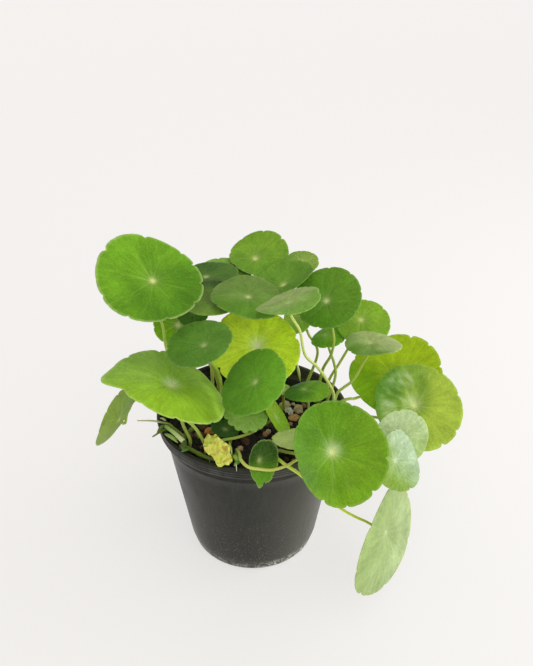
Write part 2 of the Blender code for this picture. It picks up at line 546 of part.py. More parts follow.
def pot_profile():
    """The pot's wall in section: from the middle of the base, up the outside and down the inside."""
    lip_foot = POT_HEIGHT - LIP_HEIGHT
    bead = lip_foot - BEAD_DROP
    ring_inside = FOOT_RADIUS - FOOT_ROUND - FOOT_RING
    outer = [(0.0, 0.0), (BOSS_RADIUS, 0.0), (BOSS_RADIUS + RAISED_STEP, BASE_RISE),
             (ring_inside, BASE_RISE), (ring_inside + RAISED_STEP, 0.0)]
    for step in range(4):
        angle = math.radians(-90 + 76 * step / 3)
        outer.append((FOOT_RADIUS - FOOT_ROUND + FOOT_ROUND * math.cos(angle),
                      FOOT_ROUND + FOOT_ROUND * math.sin(angle)))
    outer += [(wall_radius(bead - BEAD_SLOPE), bead - BEAD_SLOPE), (wall_radius(bead) + BEAD_STEP, bead),
              (wall_radius(bead) + BEAD_STEP, bead + BEAD_SLOPE),
              (wall_radius(lip_foot - BEAD_SLOPE), lip_foot - BEAD_SLOPE),
              (wall_radius(lip_foot) + LIP_STEP, lip_foot), (POT_RADIUS, POT_HEIGHT - SOFT_EDGE),
              (POT_RADIUS - SOFT_EDGE, POT_HEIGHT), (POT_RADIUS - WALL, POT_HEIGHT)]
    inner = [(wall_radius(lip_foot) + LIP_STEP - WALL, lip_foot + WALL),
             (wall_radius(lip_foot) - WALL, lip_foot), (wall_radius(CORNER_TOP) - WALL, CORNER_TOP),
             (FOOT_RADIUS - WALL - RAISED_STEP, BASE_RISE + WALL), (0.0, BASE_RISE + WALL)]
    return outer + inner


def turn_profile(profile, segments):
    """A solid of revolution about Z from a profile of (radius, height) that starts and ends on the axis."""
    shape = bmesh.new()
    line = [shape.verts.new((radius, 0, height)) for radius, height in profile]
    edges = [shape.edges.new(pair) for pair in zip(line, line[1:])]
    bmesh.ops.spin(shape, geom=[*line, *edges], cent=(0, 0, 0), axis=(0, 0, 1), dvec=(0, 0, 0),
                   angle=math.tau, steps=segments, use_merge=True)
    bmesh.ops.remove_doubles(shape, verts=shape.verts, dist=1e-5)
    return shape


def build_pot():
    """The thin black nursery pot, with a lip, a moulded bead and drain holes."""
    pot = add_object("pot", turn_profile(pot_profile(), POT_SEGMENTS), "pot_black")
    drains = []
    for index in range(DRAIN_HOLES):
        angle = math.tau * index / DRAIN_HOLES
        shape = bmesh.new()
        x, y = DRAIN_CIRCLE * math.cos(angle), DRAIN_CIRCLE * math.sin(angle)
        spot = Matrix.Translation((x, y, BASE_RISE))
        bmesh.ops.create_cone(shape, cap_ends=True, segments=DRAIN_SIDES, radius1=DRAIN_RADIUS,
                              radius2=DRAIN_RADIUS, depth=3 * BASE_RISE, matrix=spot)
        drains.append(add_object("drain", shape, "pot_black"))
    combine(pot, drains, "DIFFERENCE")
    return pot


def build_soil():
    """The soil that fills the pot, with stones on its surface and a plain hole for each stalk."""
    draw = random.Random("soil")
    shape = bmesh.new()
    middle = shape.verts.new((0, 0, soil_height(0, 0)))
    rings = []
    top_radius = wall_radius(SOIL_TOP - 2 * SOIL_EDGE_DROP) - WALL - SOIL_GAP
    for radius in (*SOIL_RINGS, top_radius):
        ring = []
        for index in range(SOIL_SEGMENTS):
            angle = math.tau * index / SOIL_SEGMENTS
            x, y = radius * math.cos(angle), radius * math.sin(angle)
            bump = SOIL_BUMP * draw.uniform(-1, 1)
            if radius == top_radius:
                bump = -SOIL_EDGE_DROP
            ring.append(shape.verts.new((x, y, soil_height(x, y) + bump)))
        rings.append(ring)
    side = wall_radius(SOIL_LOW_RING) - WALL - SOIL_GAP
    bottom = FOOT_RADIUS - WALL - 4 * SOIL_GAP
    for radius, height in ((side, SOIL_LOW_RING), (bottom, BASE_RISE + WALL + SOIL_GAP)):
        turns = [math.tau * k / SOIL_SEGMENTS for k in range(SOIL_SEGMENTS)]
        rings.append([shape.verts.new((radius * math.cos(t), radius * math.sin(t), height)) for t in turns])
    for k in range(SOIL_SEGMENTS):
        after = (k + 1) % SOIL_SEGMENTS
        shape.faces.new((middle, rings[0][k], rings[0][after]))
        for inner, outer in zip(rings, rings[1:]):
            shape.faces.new((inner[k], outer[k], outer[after], inner[after]))
    shape.faces.new(list(reversed(rings[-1])))
    bmesh.ops.triangulate(shape, faces=shape.faces)
    soil = add_object("soil", shape, "soil", smooth=False)
    roots = [leaf.root for leaf in (*LEAVES, WITHERED)]
    spots = [gravel_spot(draw, index) for index in range(GRAVEL_COUNT)]
    clear = [s for s in spots if all(math.dist(s[:2], root) > s[2] * 1.2 + STALK_HOLE for root in roots)]
    combine(soil, [build_stone(draw, *spot) for spot in clear], "UNION")
    combine(soil, [build_hole(root) for root in roots], "DIFFERENCE")
    return soil


def gravel_spot(draw, index):
    """Place and half width of one stone, on an even spiral from the middle."""
    reach = GRAVEL_REACH * math.sqrt((index + 0.5) / GRAVEL_COUNT)
    angle = index * math.pi * (3 - math.sqrt(5)) + draw.uniform(-GRAVEL_SCATTER, GRAVEL_SCATTER)
    return reach * math.cos(angle), reach * math.sin(angle), draw.uniform(*GRAVEL_SIZE)


def build_stone(draw, x, y, half):
    """One stone on the surface: a rough twenty-sided lump."""
    shape = bmesh.new()
    bmesh.ops.create_icosphere(shape, subdivisions=1, radius=half)
    for vertex in shape.verts:
        vertex.co *= draw.uniform(1 - GRAVEL_ROUGH, 1 + GRAVEL_ROUGH)
        vertex.co.z *= GRAVEL_FLAT
    spin = Matrix.Rotation(draw.uniform(0, math.tau), 4, "Z")
    place = Matrix.Translation((x, y, soil_height(x, y) - half * GRAVEL_SINK))
    bmesh.ops.transform(shape, matrix=place @ spin, verts=shape.verts)
    return add_object("stone", shape, "soil", smooth=False)


def build_hole(root):
    """A cutter for the hole that a stalk stands in."""
    shape = bmesh.new()
    depth = STALK_DEPTH + HOLE_BELOW
    height = depth + HOLE_ABOVE
    place = Matrix.Translation((*root, soil_height(*root) - depth + height / 2))
    bmesh.ops.create_cone(shape, cap_ends=True, segments=6, radius1=STALK_HOLE, radius2=STALK_HOLE,
                          depth=height, matrix=place)
    return add_object("hole", shape, "soil", smooth=False)


def main():
    for old in list(bpy.data.objects):
        bpy.data.objects.remove(old)
    build_pot()
    build_soil()
    for leaf in (*LEAVES, WITHERED):
        build_leaf(leaf)
    build_runner()


main()
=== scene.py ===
"""Looks of a potted pennywort: fine leaves, stalks, soil, stones and pot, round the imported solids.

Sizes are in metres and angles in degrees. +Z is up and -Y is the front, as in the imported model.
"""

import math
import random
from typing import NamedTuple

import bpy
import numpy as np
from mathutils import Matrix, Vector, noise

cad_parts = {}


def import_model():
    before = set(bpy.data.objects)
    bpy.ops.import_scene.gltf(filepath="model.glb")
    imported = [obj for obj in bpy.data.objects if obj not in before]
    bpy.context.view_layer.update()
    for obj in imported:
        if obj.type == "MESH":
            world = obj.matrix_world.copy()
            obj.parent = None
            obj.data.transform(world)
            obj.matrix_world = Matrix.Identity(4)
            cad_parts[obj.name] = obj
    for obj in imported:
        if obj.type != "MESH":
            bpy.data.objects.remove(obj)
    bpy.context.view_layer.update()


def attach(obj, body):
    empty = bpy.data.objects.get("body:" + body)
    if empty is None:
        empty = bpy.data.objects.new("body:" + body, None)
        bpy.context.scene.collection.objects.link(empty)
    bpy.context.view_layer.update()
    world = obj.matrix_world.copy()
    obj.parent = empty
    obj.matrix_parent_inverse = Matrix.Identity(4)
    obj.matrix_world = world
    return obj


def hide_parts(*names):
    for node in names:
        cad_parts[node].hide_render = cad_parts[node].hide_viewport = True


# The camera, fitted to the photograph
CAMERA_PLACE = (0.008, -0.3897, 0.367)
CAMERA_TURN = (60, 0, 0)
PHOTO_HEIGHT = 666          # pixels
FOCAL_PIXELS = 825
SENSOR = 36

# The pot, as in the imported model
POT_RADIUS = 0.055
POT_HEIGHT = 0.092
FOOT_RADIUS = 0.0370
WALL = 0.0012
LIP_HEIGHT = 0.0085
LIP_STEP = 0.0026
BEAD_DROP = 0.0045
BEAD_STEP = 0.0006
FOOT_ROUND = 0.005
BASE_RISE = 0.0022
FOOT_RING = 0.005
BOSS_RADIUS = 0.009
POT_SEGMENTS = 192
LIP_ROUND = 0.0011
LIP_RINGS = (0.0016, 0.0032, 0.0048)    # heights of the fine moulded rings above the lip's lower edge
DRAIN_HOLES = 6
DRAIN_RADIUS = 0.0042
DRAIN_CIRCLE = 0.020

# The soil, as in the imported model
SOIL_TOP = 0.0842
SOIL_SLOPE = (-0.030, -0.040)
SOIL_GAP = 0.0004
SOIL_RINGS = 5              # rings of random bumps drawn before the stones
SOIL_SEGMENTS = 20
GRAVEL_COUNT = 60
GRAVEL_REACH = 0.046
GRAVEL_SCATTER = 0.2
GRAVEL_SIZE = (0.0020, 0.0038)
GRAVEL_SINK = 0.25

# The leaves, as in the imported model
BLADE = 0.0007
LOBES = 9
NOTCH = 0.055
DIMPLE = 0.07
DIMPLE_REACH = 0.22
RUFFLE = 0.015
FOLD_SOFTNESS = 0.16
STALK_FOOT = 0.00100
STALK_NECK = 0.00068
STALK_DEPTH = 0.009
SPLINE_STEPS = 24           # points taken on a curve between two knots
STALK_HOLE = 0.0021


class Leaf(NamedTuple):
    """One leaf. Bearings are 0 at +X and -90 at the front; the blade's own are taken before it tilts."""

    name: str
    centre: tuple           # where the stalk meets the blade
    radius: float
    facing: float           # bearing that the upper face leans towards
    tilt: float             # lean of the upper face from straight up
    root: tuple             # where the stalk leaves the soil, X and Y
    via: tuple = ()         # points that the stalk passes on its way from the blade to the soil
    neck: float = 0.007     # length of stalk that stands square to the blade
    shift: tuple = (0, 0)   # how far the rim's middle lies from the stalk, in radii
    crease: float = 0.0     # bearing of the line that the blade folds along
    fold: float = 0.0       # how far each half is folded up from flat
    stretch: float = 1.0    # length along the crease over the width across it
    cup: float = 0.04       # rise of the rim, in radii
    bow: float = 0.0        # rise of the two ends of the crease, in radii
    twist: float = 0.0      # twist of the blade along the crease, in radii
    ruffle: float = 1.0     # waviness of the rim
    notches: tuple = ()     # bearings of the cuts between lobes, where they are known
    bulges: tuple = ()      # (bearing, width, reach): where the rim stands out, or in, in radii
    paint: str = "leaf_green"

    @property
    def node(self):
        """The name of the leaf's CAD node."""
        return "leaf_" + self.name


LEAVES = (
    # high on the left
    Leaf("left_high", (-0.0495, -0.015, 0.181), 0.0275, -52, 30, (-0.034, -0.028),
         via=((-0.047, -0.011, 0.154), (-0.0465, -0.006, 0.137), (-0.043, -0.008, 0.120),
              (-0.0385, -0.023, 0.101)), shift=(-0.07, -0.04), twist=-0.20, cup=0.02, bow=0.12,
         notches=(9, 39, 59, 105, 162, 219, 255, 296, 336)),
    Leaf("left_under", (-0.0415, 0.012, 0.140), 0.0138, -80, 35, (-0.031, 0.006),
         via=((-0.040, 0.013, 0.118),), paint="leaf_lime"),
    Leaf("left_shade", (-0.0315, 0.008, 0.152), 0.0105, -119, 42, (-0.023, 0.010),
         via=((-0.025, 0.012, 0.138), (-0.0235, 0.010, 0.115)), paint="leaf_deep"),
    # low on the left, over the rim
    Leaf("left_low", (-0.041, -0.038, 0.133), 0.0305, 7, 24, (-0.025, -0.034),
         via=((-0.037, -0.0385, 0.115), (-0.030, -0.035, 0.104)), shift=(0, -0.04), crease=162, fold=-3,
         twist=-0.14, cup=0.01, bow=-0.16, notches=(20, 65, 110, 147, 213, 243, 280, 325),
         bulges=((192, 14, 0.15), (214, 12, -0.10), (240, 20, -0.08), (28, 22, 0.14))),
    Leaf("left_hanging", (-0.0735, -0.018, 0.0965), 0.0180, -174, 50, (-0.040, -0.006),
         via=((-0.0693, -0.0148, 0.0995), (-0.0655, -0.0120, 0.1055), (-0.0600, -0.0100, 0.1070),
              (-0.0535, -0.0085, 0.1025)), neck=0.003, crease=94, fold=4, twist=-0.08, cup=0.03, bow=0.16),
    # the crown, from the back to the front
    Leaf("top_high", (0.0013, 0.048, 0.1641), 0.0175, -94, 25, (0.001, 0.032),
         via=((0.002, 0.048, 0.130),), shift=(0.14, 0.11), twist=0.26, cup=0.10, bow=-0.07,
         notches=(36, 80, 126, 170, 215, 258, 300, 354)),
    Leaf("top_small", (0.0278, 0.0325, 0.1684), 0.0099, -104, 19, (0.016, 0.030),
         via=((0.0265, 0.036, 0.140), (0.020, 0.032, 0.110)), paint="leaf_lime"),
    Leaf("top_rim", (-0.0163, 0.036, 0.1588), 0.0156, -78, 12, (-0.009, 0.031),
         via=((-0.012, 0.037, 0.130),)),
    Leaf("back_left", (-0.026, 0.026, 0.1632), 0.0168, -140, 5, (-0.019, 0.016),
         via=((-0.0265, 0.0195, 0.1570), (-0.0275, 0.0180, 0.145), (-0.027, 0.0180, 0.134),
              (-0.023, 0.017, 0.112)), neck=0.002, shift=(0.12, -0.12), paint="leaf_deep"),
    Leaf("crown_dark", (-0.0202, -0.002, 0.1634), 0.0180, -100, 4, (-0.012, 0.008),
         via=((-0.0150, 0.010, 0.155), (-0.0115, 0.020, 0.146), (-0.011, 0.024, 0.136),
              (-0.011, 0.020, 0.115)), neck=0.003, paint="leaf_deep"),
    Leaf("crown_right", (0.0173, 0.0150, 0.1635), 0.0176, -167, 25, (0.011, 0.017),
         via=((0.0150, 0.022, 0.153), (0.0135, 0.025, 0.138), (0.012, 0.022, 0.115)), neck=0.003,
         shift=(0.09, 0.02), crease=7, fold=9, twist=-0.08, cup=0.05),
    Leaf("crown_front", (-0.0015, -0.007, 0.1677), 0.0193, -44, 11, (-0.004, 0.017),
         via=((-0.002, 0.003, 0.160), (-0.003, 0.018, 0.152), (-0.0035, 0.025, 0.140),
              (-0.004, 0.022, 0.115)), neck=0.003, shift=(-0.03, -0.05), twist=0.09, cup=0.0, bow=-0.10,
         paint="leaf_deep"),
    Leaf("crown_pale", (0.0187, -0.028, 0.1753), 0.0168, 152, 16, (0.043, -0.009),
         via=((0.0250, -0.026, 0.158), (0.0282, -0.021, 0.141), (0.035, -0.017, 0.131),
              (0.0416, -0.013, 0.1186), (0.0455, -0.010, 0.106)), crease=17, fold=-7, twist=0.10,
         bow=0.02, paint="leaf_deep"),
    # the middle, facing the viewer
    Leaf("middle_lime", (0.003, 0.000, 0.1337), 0.0250, -78, 32, (0.004, 0.011),
         via=((0.004, 0.009, 0.112),), shift=(-0.05, -0.07), twist=-0.06, cup=0.02, bow=-0.03,
         paint="leaf_lime"),
    Leaf("front_left", (-0.023, -0.036, 0.1555), 0.0172, -136, 18, (-0.019, -0.007),
         via=((-0.0195, -0.031, 0.1415), (-0.0175, -0.027, 0.1350), (-0.0165, -0.019, 0.122),
              (-0.017, -0.012, 0.108)), shift=(-0.11, -0.03), crease=24, fold=5, twist=-0.05,
         paint="leaf_deep"),
    Leaf("middle_dark", (0.0025, -0.037, 0.1342), 0.0197, -146, 39, (0.003, -0.009),
         via=((0.007, -0.026, 0.122), (0.005, -0.013, 0.108)), shift=(-0.08, 0.01), twist=0.09, cup=-0.02,
         bow=-0.03, paint="leaf_deep"),
    Leaf("middle_low", (-0.0035, -0.024, 0.1055), 0.0125, -60, 31, (-0.003, -0.015), neck=0.004,
         ruffle=3.0, paint="leaf_deep"),
    Leaf("middle_band", (0.0134, -0.0203, 0.0998), 0.0096, -23, 49, (-0.018, -0.030),
         via=((0.000, -0.029, 0.0965), (-0.0085, -0.0325, 0.0955)), neck=0.004, crease=-34, stretch=2.0,
         paint="leaf_lime"),
    Leaf("low_shade", (-0.0150, -0.0205, 0.092), 0.0080, -3, 10, (-0.012, -0.024), neck=0.002,
         paint="leaf_deep"),
    Leaf("gravel", (0.0296, 0.000, 0.105), 0.0131, 135, 10, (0.0325, -0.005),
         via=((0.0317, -0.001, 0.097),), neck=0.004, shift=(0.09, -0.13), twist=0.11, cup=-0.12,
         paint="leaf_deep"),
    Leaf("gravel_bud", (0.0182, 0.012, 0.0965), 0.0045, -90, 12, (0.018, 0.011), neck=0.003),
    # the right, behind and beside the pot
    Leaf("right_dark", (0.0405, 0.005, 0.159), 0.0187, -112, 37, (0.038, 0.020),
         via=((0.0441, 0.002, 0.1434), (0.0452, 0.0015, 0.1364), (0.0448, 0.004, 0.1287),
              (0.0440, 0.008, 0.1217), (0.0411, 0.013, 0.1118), (0.0400, 0.017, 0.1030)), neck=0.004,
         shift=(0.05, 0.05), twist=0.09, cup=0.06, bow=0.03,
         notches=(0, 39, 81, 122, 165, 207, 248, 291, 321), paint="leaf_deep"),
    Leaf("right_shade", (0.0262, 0.020, 0.1395), 0.0090, -130, 52, (0.030, 0.024),
         via=((0.0325, 0.024, 0.127), (0.038, 0.024, 0.114)), neck=0.005, paint="leaf_deep"),
    Leaf("right_small", (0.0416, 0.0168, 0.1311), 0.0102, -161, 16, (0.043, 0.010),
         via=((0.044, 0.018, 0.1216), (0.0475, 0.017, 0.111), (0.048, 0.014, 0.1036)), neck=0.004,
         shift=(0.12, -0.17), twist=0.14, cup=-0.11, bow=-0.08, paint="leaf_deep"),
    Leaf("right_back", (0.062, 0.022, 0.138), 0.0157, -90, 28, (0.040, 0.015),
         via=((0.056, 0.022, 0.120), (0.0498, 0.019, 0.109), (0.0455, 0.017, 0.102)), neck=0.006,
         shift=(0.06, -0.14), twist=0.05, cup=0.0, bow=0.02),
    Leaf("right_fold", (0.064, -0.006, 0.1392), 0.0156, 79, 6, (0.0455, -0.003),
         via=((0.0605, -0.006, 0.1252), (0.0577, -0.005, 0.1173), (0.0547, -0.004, 0.112),
              (0.0511, -0.003, 0.108), (0.0475, -0.003, 0.103)), neck=0.005, shift=(0.12, -0.05),
         crease=-13, fold=-4, twist=-0.12, cup=0.01, bow=-0.06, paint="leaf_deep"),
    Leaf("right_lime", (0.0835, 0.016, 0.103), 0.0270, -103, 30, (0.046, 0.003),
         via=((0.0614, 0.008, 0.0940), (0.0564, 0.005, 0.0952), (0.0515, 0.003, 0.0948)), twist=0.23,
         cup=0.03, bow=0.13, notches=(3, 36, 63, 105, 150, 213, 255, 300, 332), paint="leaf_lime"),
    Leaf("right_big", (0.0897, -0.014, 0.1037), 0.0255, -75, 37, (0.0446, -0.0127),
         via=((0.076, -0.013, 0.0945), (0.059, -0.013, 0.0965), (0.051, -0.013, 0.0950)),
         shift=(0.08, -0.03), twist=0.06, cup=-0.04, bow=0.09,
         notches=(21, 59, 100, 140, 182, 222, 262, 303, 330)),
    Leaf("right_pale_back", (0.0793, -0.037, 0.0995), 0.0155, -78, 69, (0.042, -0.020),
         via=((0.071, -0.0350, 0.0975), (0.062, -0.031, 0.0965), (0.052, -0.024, 0.0960)), neck=0.002,
         bow=-0.02, twist=-0.04, notches=(60, 105, 150, 200, 240, 300, 354), paint="leaf_pale"),
    Leaf("right_pale_front", (0.0748, -0.053, 0.0964), 0.0159, -44, 58, (0.013, -0.037),
         via=((0.066, -0.0480, 0.0915), (0.050, -0.0445, 0.0915), (0.0242, -0.0455, 0.0950),
              (0.0190, -0.043, 0.0940)), neck=0.004, twist=-0.30, bow=0.09, paint="leaf_pale"),
    # the front, over the rim
    Leaf("front_big", (0.0400, -0.0691, 0.1146), 0.0266, -56, 46, (-0.008, -0.037),
         via=((0.0246, -0.057, 0.1005), (0.0189, -0.060, 0.0991), (0.0113, -0.0622, 0.0978),
              (0.0047, -0.0625, 0.0985), (-0.0012, -0.0616, 0.0992), (-0.0050, -0.056, 0.0990),
              (-0.0060, -0.048, 0.0960)), neck=0.005, shift=(0.12, 0), twist=0.10, cup=-0.01, bow=0.15,
         notches=(6, 42, 81, 120, 162, 204, 258, 288, 324)),
    Leaf("front_hanging", (0.072, -0.060, 0.0535), 0.0310, -35, 85, (0.010, -0.041),
         via=((0.0609, -0.0605, 0.0613), (0.0547, -0.0615, 0.0657), (0.0464, -0.062, 0.0722),
              (0.0356, -0.062, 0.0830), (0.0252, -0.060, 0.0930), (0.0180, -0.056, 0.0958),
              (0.014, -0.050, 0.0950)), neck=0.003, shift=(-0.04, -0.15), crease=108, fold=6, twist=0.09,
         cup=-0.06, bow=-0.03, notches=(20, 72, 130, 183, 230, 275, 320), paint="leaf_pale"),
    Leaf("front_rim", (0.004, -0.059, 0.1016), 0.0104, -84, 82, (0.002, -0.042),
         via=((0.0035, -0.050, 0.0990),), neck=0.003, shift=(0.28, -0.10), crease=90, fold=-18,
         stretch=1.7, cup=0.03),
    Leaf("low_pale", (0.0256, -0.0389, 0.0985), 0.0149, 99, 15, (0.026, -0.029), neck=0.003,
         paint="leaf_pale"),
    # the back, which the leaves in front hide
    Leaf("behind_left", (-0.0345, 0.054, 0.1130), 0.0155, 118, 24, (-0.022, 0.034),
         via=((-0.0300, 0.0460, 0.1000),)),
    Leaf("behind_middle", (0.003, 0.062, 0.1010), 0.0142, 92, 38, (0.004, 0.041),
         via=((0.0035, 0.0530, 0.0975), (0.004, 0.0460, 0.0945)), neck=0.004, paint="leaf_deep"),
    Leaf("behind_right", (0.0205, 0.060, 0.1230), 0.0158, 66, 30, (0.015, 0.038),
         via=((0.0175, 0.0500, 0.1030),), paint="leaf_lime"),
    Leaf("behind_side", (-0.051, 0.033, 0.1005), 0.0140, 145, 32, (-0.034, 0.024),
         via=((-0.0440, 0.0290, 0.0965),), neck=0.004),
)
WITHERED = Leaf("withered", (-0.0172, -0.0450, 0.0962), 0.0086, -80, 28, (-0.017, -0.036),
                neck=0.003, crease=-52, fold=24, stretch=1.5, ruffle=6.0, paint="leaf_yellow")

# How fine the leaves and stalks are
LOBE_COLUMNS = 15           # points along each lobe's rim; a multiple of 3
BLADE_RINGS = 20
SMALL_LEAF = 0.011          # leaves under this radius have coarser blades
SMALL_COLUMNS = 9
SMALL_RINGS = 12
RING_SPREAD = 1.15          # over 1 puts more rings near the stalk
CREASES = ((0.80, 1.3), (0.30, 2.8), (0.05, 8.0))   # height and fineness of a withered blade's creases
DRIFT = 0.14                # how far its points stray sideways and up, in radii
DRIFT_SCALE = 2.4
DRIFT_STARTS = ((3.4, 0, 5.1), (0, 7.7, 1.2), (9.3, 2.6, 0))
SUB_NOTCH = 0.006           # fine teeth within a lobe, as a share of the radius
NOTCH_FADE = 6              # how soon a notch's pull on the blade fades towards the stalk
QUILT = 0.012               # how far the blade swells between its main veins, in radii
THIN_EDGE = 0.45            # how much thinner the blade is at its rim
EDGE_ROUND = 0.00022        # the rim's rounded edge
STALK_SIDES = 12
STALK_PIECE = 0.0012
STALK_FLARE = 0.8           # how much wider the stalk gets where it meets the blade
STALK_FLARE_LENGTH = 0.0022

# Colours laid over a leaf's own, from 0 to 255; the streaks and the whitish patch round the spot are painted
# sheen
STREAK_SHEEN_TONE = (206, 222, 180)
SPOT_SHEEN_TONE = (226, 236, 196)
SPOT_SHEEN_REACH = 0.0036
SPOT_SHEEN_OFFSET = 0.04          # how far the middle of the painted sheen round the spot lies from the stalk, in radii
RIM_PALE = (214, 230, 150)
UNDERSIDE = (170, 190, 120)
UNDERSIDE_SHARE = 0.25
WITHER_PALE = (248, 246, 160)
WITHER_BROWN = (190, 146, 54)
WITHER_GREEN = (176, 200, 70)
STALK_FOOT_TONE = (176, 184, 108)
CLOUD_SHADE = 0.18          # how much broad clouds and fine grain lighten and darken a blade
GRAIN_SHADE = 0.12
BLADES = {                  # roughness, colour of the veins and colour of the spot over the stalk
    "leaf_green": (0.44, (170, 198, 92), (216, 222, 146)),
    "leaf_deep": (0.42, (140, 172, 84), (206, 216, 148)),
    "leaf_lime": (0.44, (206, 220, 110), (236, 240, 190)),
    "leaf_pale": (0.52, (206, 220, 164), (222, 230, 190)),
    "leaf_yellow": (0.60, (226, 214, 120), (226, 214, 140)),
}

# Colours of the pot, the soil and the floor
PLASTIC = ((20, 21, 14), (36, 37, 27))
# painted sheen: laid in patches towards the pot's right side
PLASTIC_RIGHT_SHEEN = (108, 108, 97)
PLASTIC_SCRATCH = (84, 84, 74)
DUST = (140, 138, 122)
RING_WEAR = (116, 114, 108)
FOOT_CHALK = (216, 214, 200)
SOIL_TONES = ((15, 13, 11), (48, 37, 28))
SOIL_GRAIN = (96, 78, 58)
STONE_TONES = ((40, 33, 27), (62, 48, 36), (84, 64, 46), (120, 92, 62), (54, 48, 42), (34, 29, 25),
               (110, 66, 42))
FLOOR_TONE = (150, 148, 147)
FLOOR_GLOW = (255, 253, 251)

# The fine soil and its stones
SOIL_ROWS = 60
SOIL_COLUMNS = 150
SOIL_HEIGHTS = (0.06, 0.03, 0.012, BASE_RISE + WALL + SOIL_GAP)
SOIL_FLAT = 0.042           # beyond this radius the soil drops towards the wall
SOIL_EDGE_DROP = 0.0030
STONE_HEIGHT = 0.8          # of its width
FINE_STONE = 0.0012         # stones under this half width have coarser meshes
CRUMB_COUNT = 1500
CRUMB_REACH = 0.0475
CRUMB_SIZE = (0.0005, 0.0014)
PEBBLE_COUNT = 120
PEBBLE_REACH = 0.0470
PEBBLE_SIZE = (0.0009, 0.0019)
PEBBLE_LIFT = 0.25          # how far the pebbles below stand over the soil, in half widths
PEBBLES = (     # those that show between the leaves: X, Y, half the width, colour
    (0.0186, 0.0138, 0.0033, (222, 208, 158)), (0.0214, 0.0076, 0.0024, (240, 240, 222)),
    (0.0268, 0.0104, 0.0032, (226, 202, 158)), (0.0240, 0.0010, 0.0029, (226, 178, 112)),
    (0.0180, 0.0253, 0.0020, (170, 84, 34)), (0.0240, 0.0168, 0.0013, (226, 218, 200)),
    (0.0304, 0.0151, 0.0017, (170, 132, 90)), (0.0215, -0.0054, 0.0016, (178, 136, 100)),
    (0.0077, -0.0157, 0.0021, (204, 156, 120)), (0.0092, -0.0133, 0.0014, (230, 212, 176)),
    (-0.0244, -0.0148, 0.0029, (226, 148, 76)), (-0.0187, -0.0161, 0.0016, (240, 224, 186)),
    (-0.0212, -0.0185, 0.0013, (206, 188, 148)), (-0.0218, -0.0215, 0.0014, (240, 226, 170)),
    (-0.0424, -0.0200, 0.0015, (214, 200, 178)), (-0.0392, -0.0262, 0.0014, (214, 186, 136)),
    (-0.0065, -0.0297, 0.0017, (206, 168, 126)), (0.0205, -0.0424, 0.0013, (226, 200, 158)),
    (0.0236, -0.0410, 0.0012, (206, 140, 96)), (0.0176, -0.0436, 0.0011, (230, 216, 180)),
    (0.0222, -0.0385, 0.0010, (170, 120, 86)),
)

# The creeping stem and what lies beside it
RUNNER_RADIUS = 0.0012
RUNNER_PATH = ((-0.0470, -0.0140, 0.0905), (-0.0410, -0.0205, 0.0900), (-0.0375, -0.0250, 0.0900),
               (-0.0370, -0.0310, 0.0895), (-0.0305, -0.0370, 0.0895), (-0.0230, -0.0425, 0.0895),
               (-0.0140, -0.0455, 0.0895))
RUNNER_TONES = ((132, 150, 56), (98, 124, 32))
TWIG_STEPS = 12
TWIG_PIECE = 0.0007
TWIG_SIDES = 10
GROWTH_TONES = ((96, 118, 34), (122, 142, 48))
RUNNER_GROWTHS = (          # base, tip, radius, taper and the colours of both ends
    ((-0.0465, -0.0140, 0.0910), (-0.0640, -0.0156, 0.0945), 0.0007, 0.5, ((170, 188, 100), (222, 222, 176))),
    ((-0.0450, -0.0165, 0.0900), (-0.0535, -0.0315, 0.0955), 0.0010, 0.4, GROWTH_TONES),
    ((-0.0375, -0.0245, 0.0890), (-0.0310, -0.0230, 0.0960), 0.0012, 1.0, GROWTH_TONES),
    ((-0.0200, -0.0435, 0.0885), (-0.0095, -0.0440, 0.0925), 0.0011, 0.6, GROWTH_TONES),
)
CUT_STUB = ((-0.0480, -0.0195, 0.0934), (-0.0369, -0.0343, 0.0947), 0.0013, ((160, 196, 84), (232, 240, 180)))
SCRAPS = (      # small sheaths, buds and torn bits beside it: base, tip, half width, colour
    ((-0.0357, -0.0315, 0.0925), (-0.0365, -0.0407, 0.0929), 0.0013, (62, 90, 18)),
    ((-0.0374, -0.0416, 0.0930), (-0.0335, -0.0383, 0.0917), 0.0008, (80, 122, 30)),
    ((-0.0484, -0.0181, 0.0934), (-0.0517, -0.0274, 0.0948), 0.0009, (92, 122, 36)),
    ((-0.0480, -0.0250, 0.0926), (-0.0400, -0.0321, 0.0917), 0.0010, (146, 176, 84)),
    ((-0.0518, -0.0127, 0.0943), (-0.0481, -0.0155, 0.0943), 0.0005, (190, 206, 130)),
    ((-0.0096, -0.0467, 0.0944), (-0.0063, -0.0513, 0.0934), 0.0012, (124, 166, 44)),
    ((-0.0076, -0.0440, 0.0942), (-0.0084, -0.0510, 0.0945), 0.0010, (74, 112, 24)),
    ((-0.0058, -0.0505, 0.0934), (-0.0088, -0.0540, 0.0936), 0.0009, (92, 138, 36)),
    ((-0.0161, -0.0316, 0.0919), (-0.0122, -0.0468, 0.0944), 0.0015, (206, 200, 178)),
    ((-0.0124, -0.0305, 0.0918), (-0.0101, -0.0472, 0.0954), 0.0006, (184, 208, 84)),
    ((-0.0295, -0.0208, 0.0850), (-0.0306, -0.0188, 0.0919), 0.0009, (150, 190, 80)),
    ((0.0262, 0.0400, 0.0990), (0.0290, 0.0370, 0.0857), 0.0008, (206, 222, 130)),
)
ROOTLETS = (    # base, tip, half width, colour
    ((-0.0078, -0.0520, 0.0940), (-0.0074, -0.0573, 0.0930), 0.00035, (232, 230, 214)),
    ((-0.0370, -0.0310, 0.0890), (-0.0400, -0.0360, 0.0868), 0.00030, (200, 190, 160)),
    ((-0.0230, -0.0425, 0.0890), (-0.0215, -0.0455, 0.0868), 0.00030, (200, 190, 160)),
    ((-0.0410, -0.0205, 0.0895), (-0.0455, -0.0245, 0.0870), 0.00028, (200, 190, 160)),
)


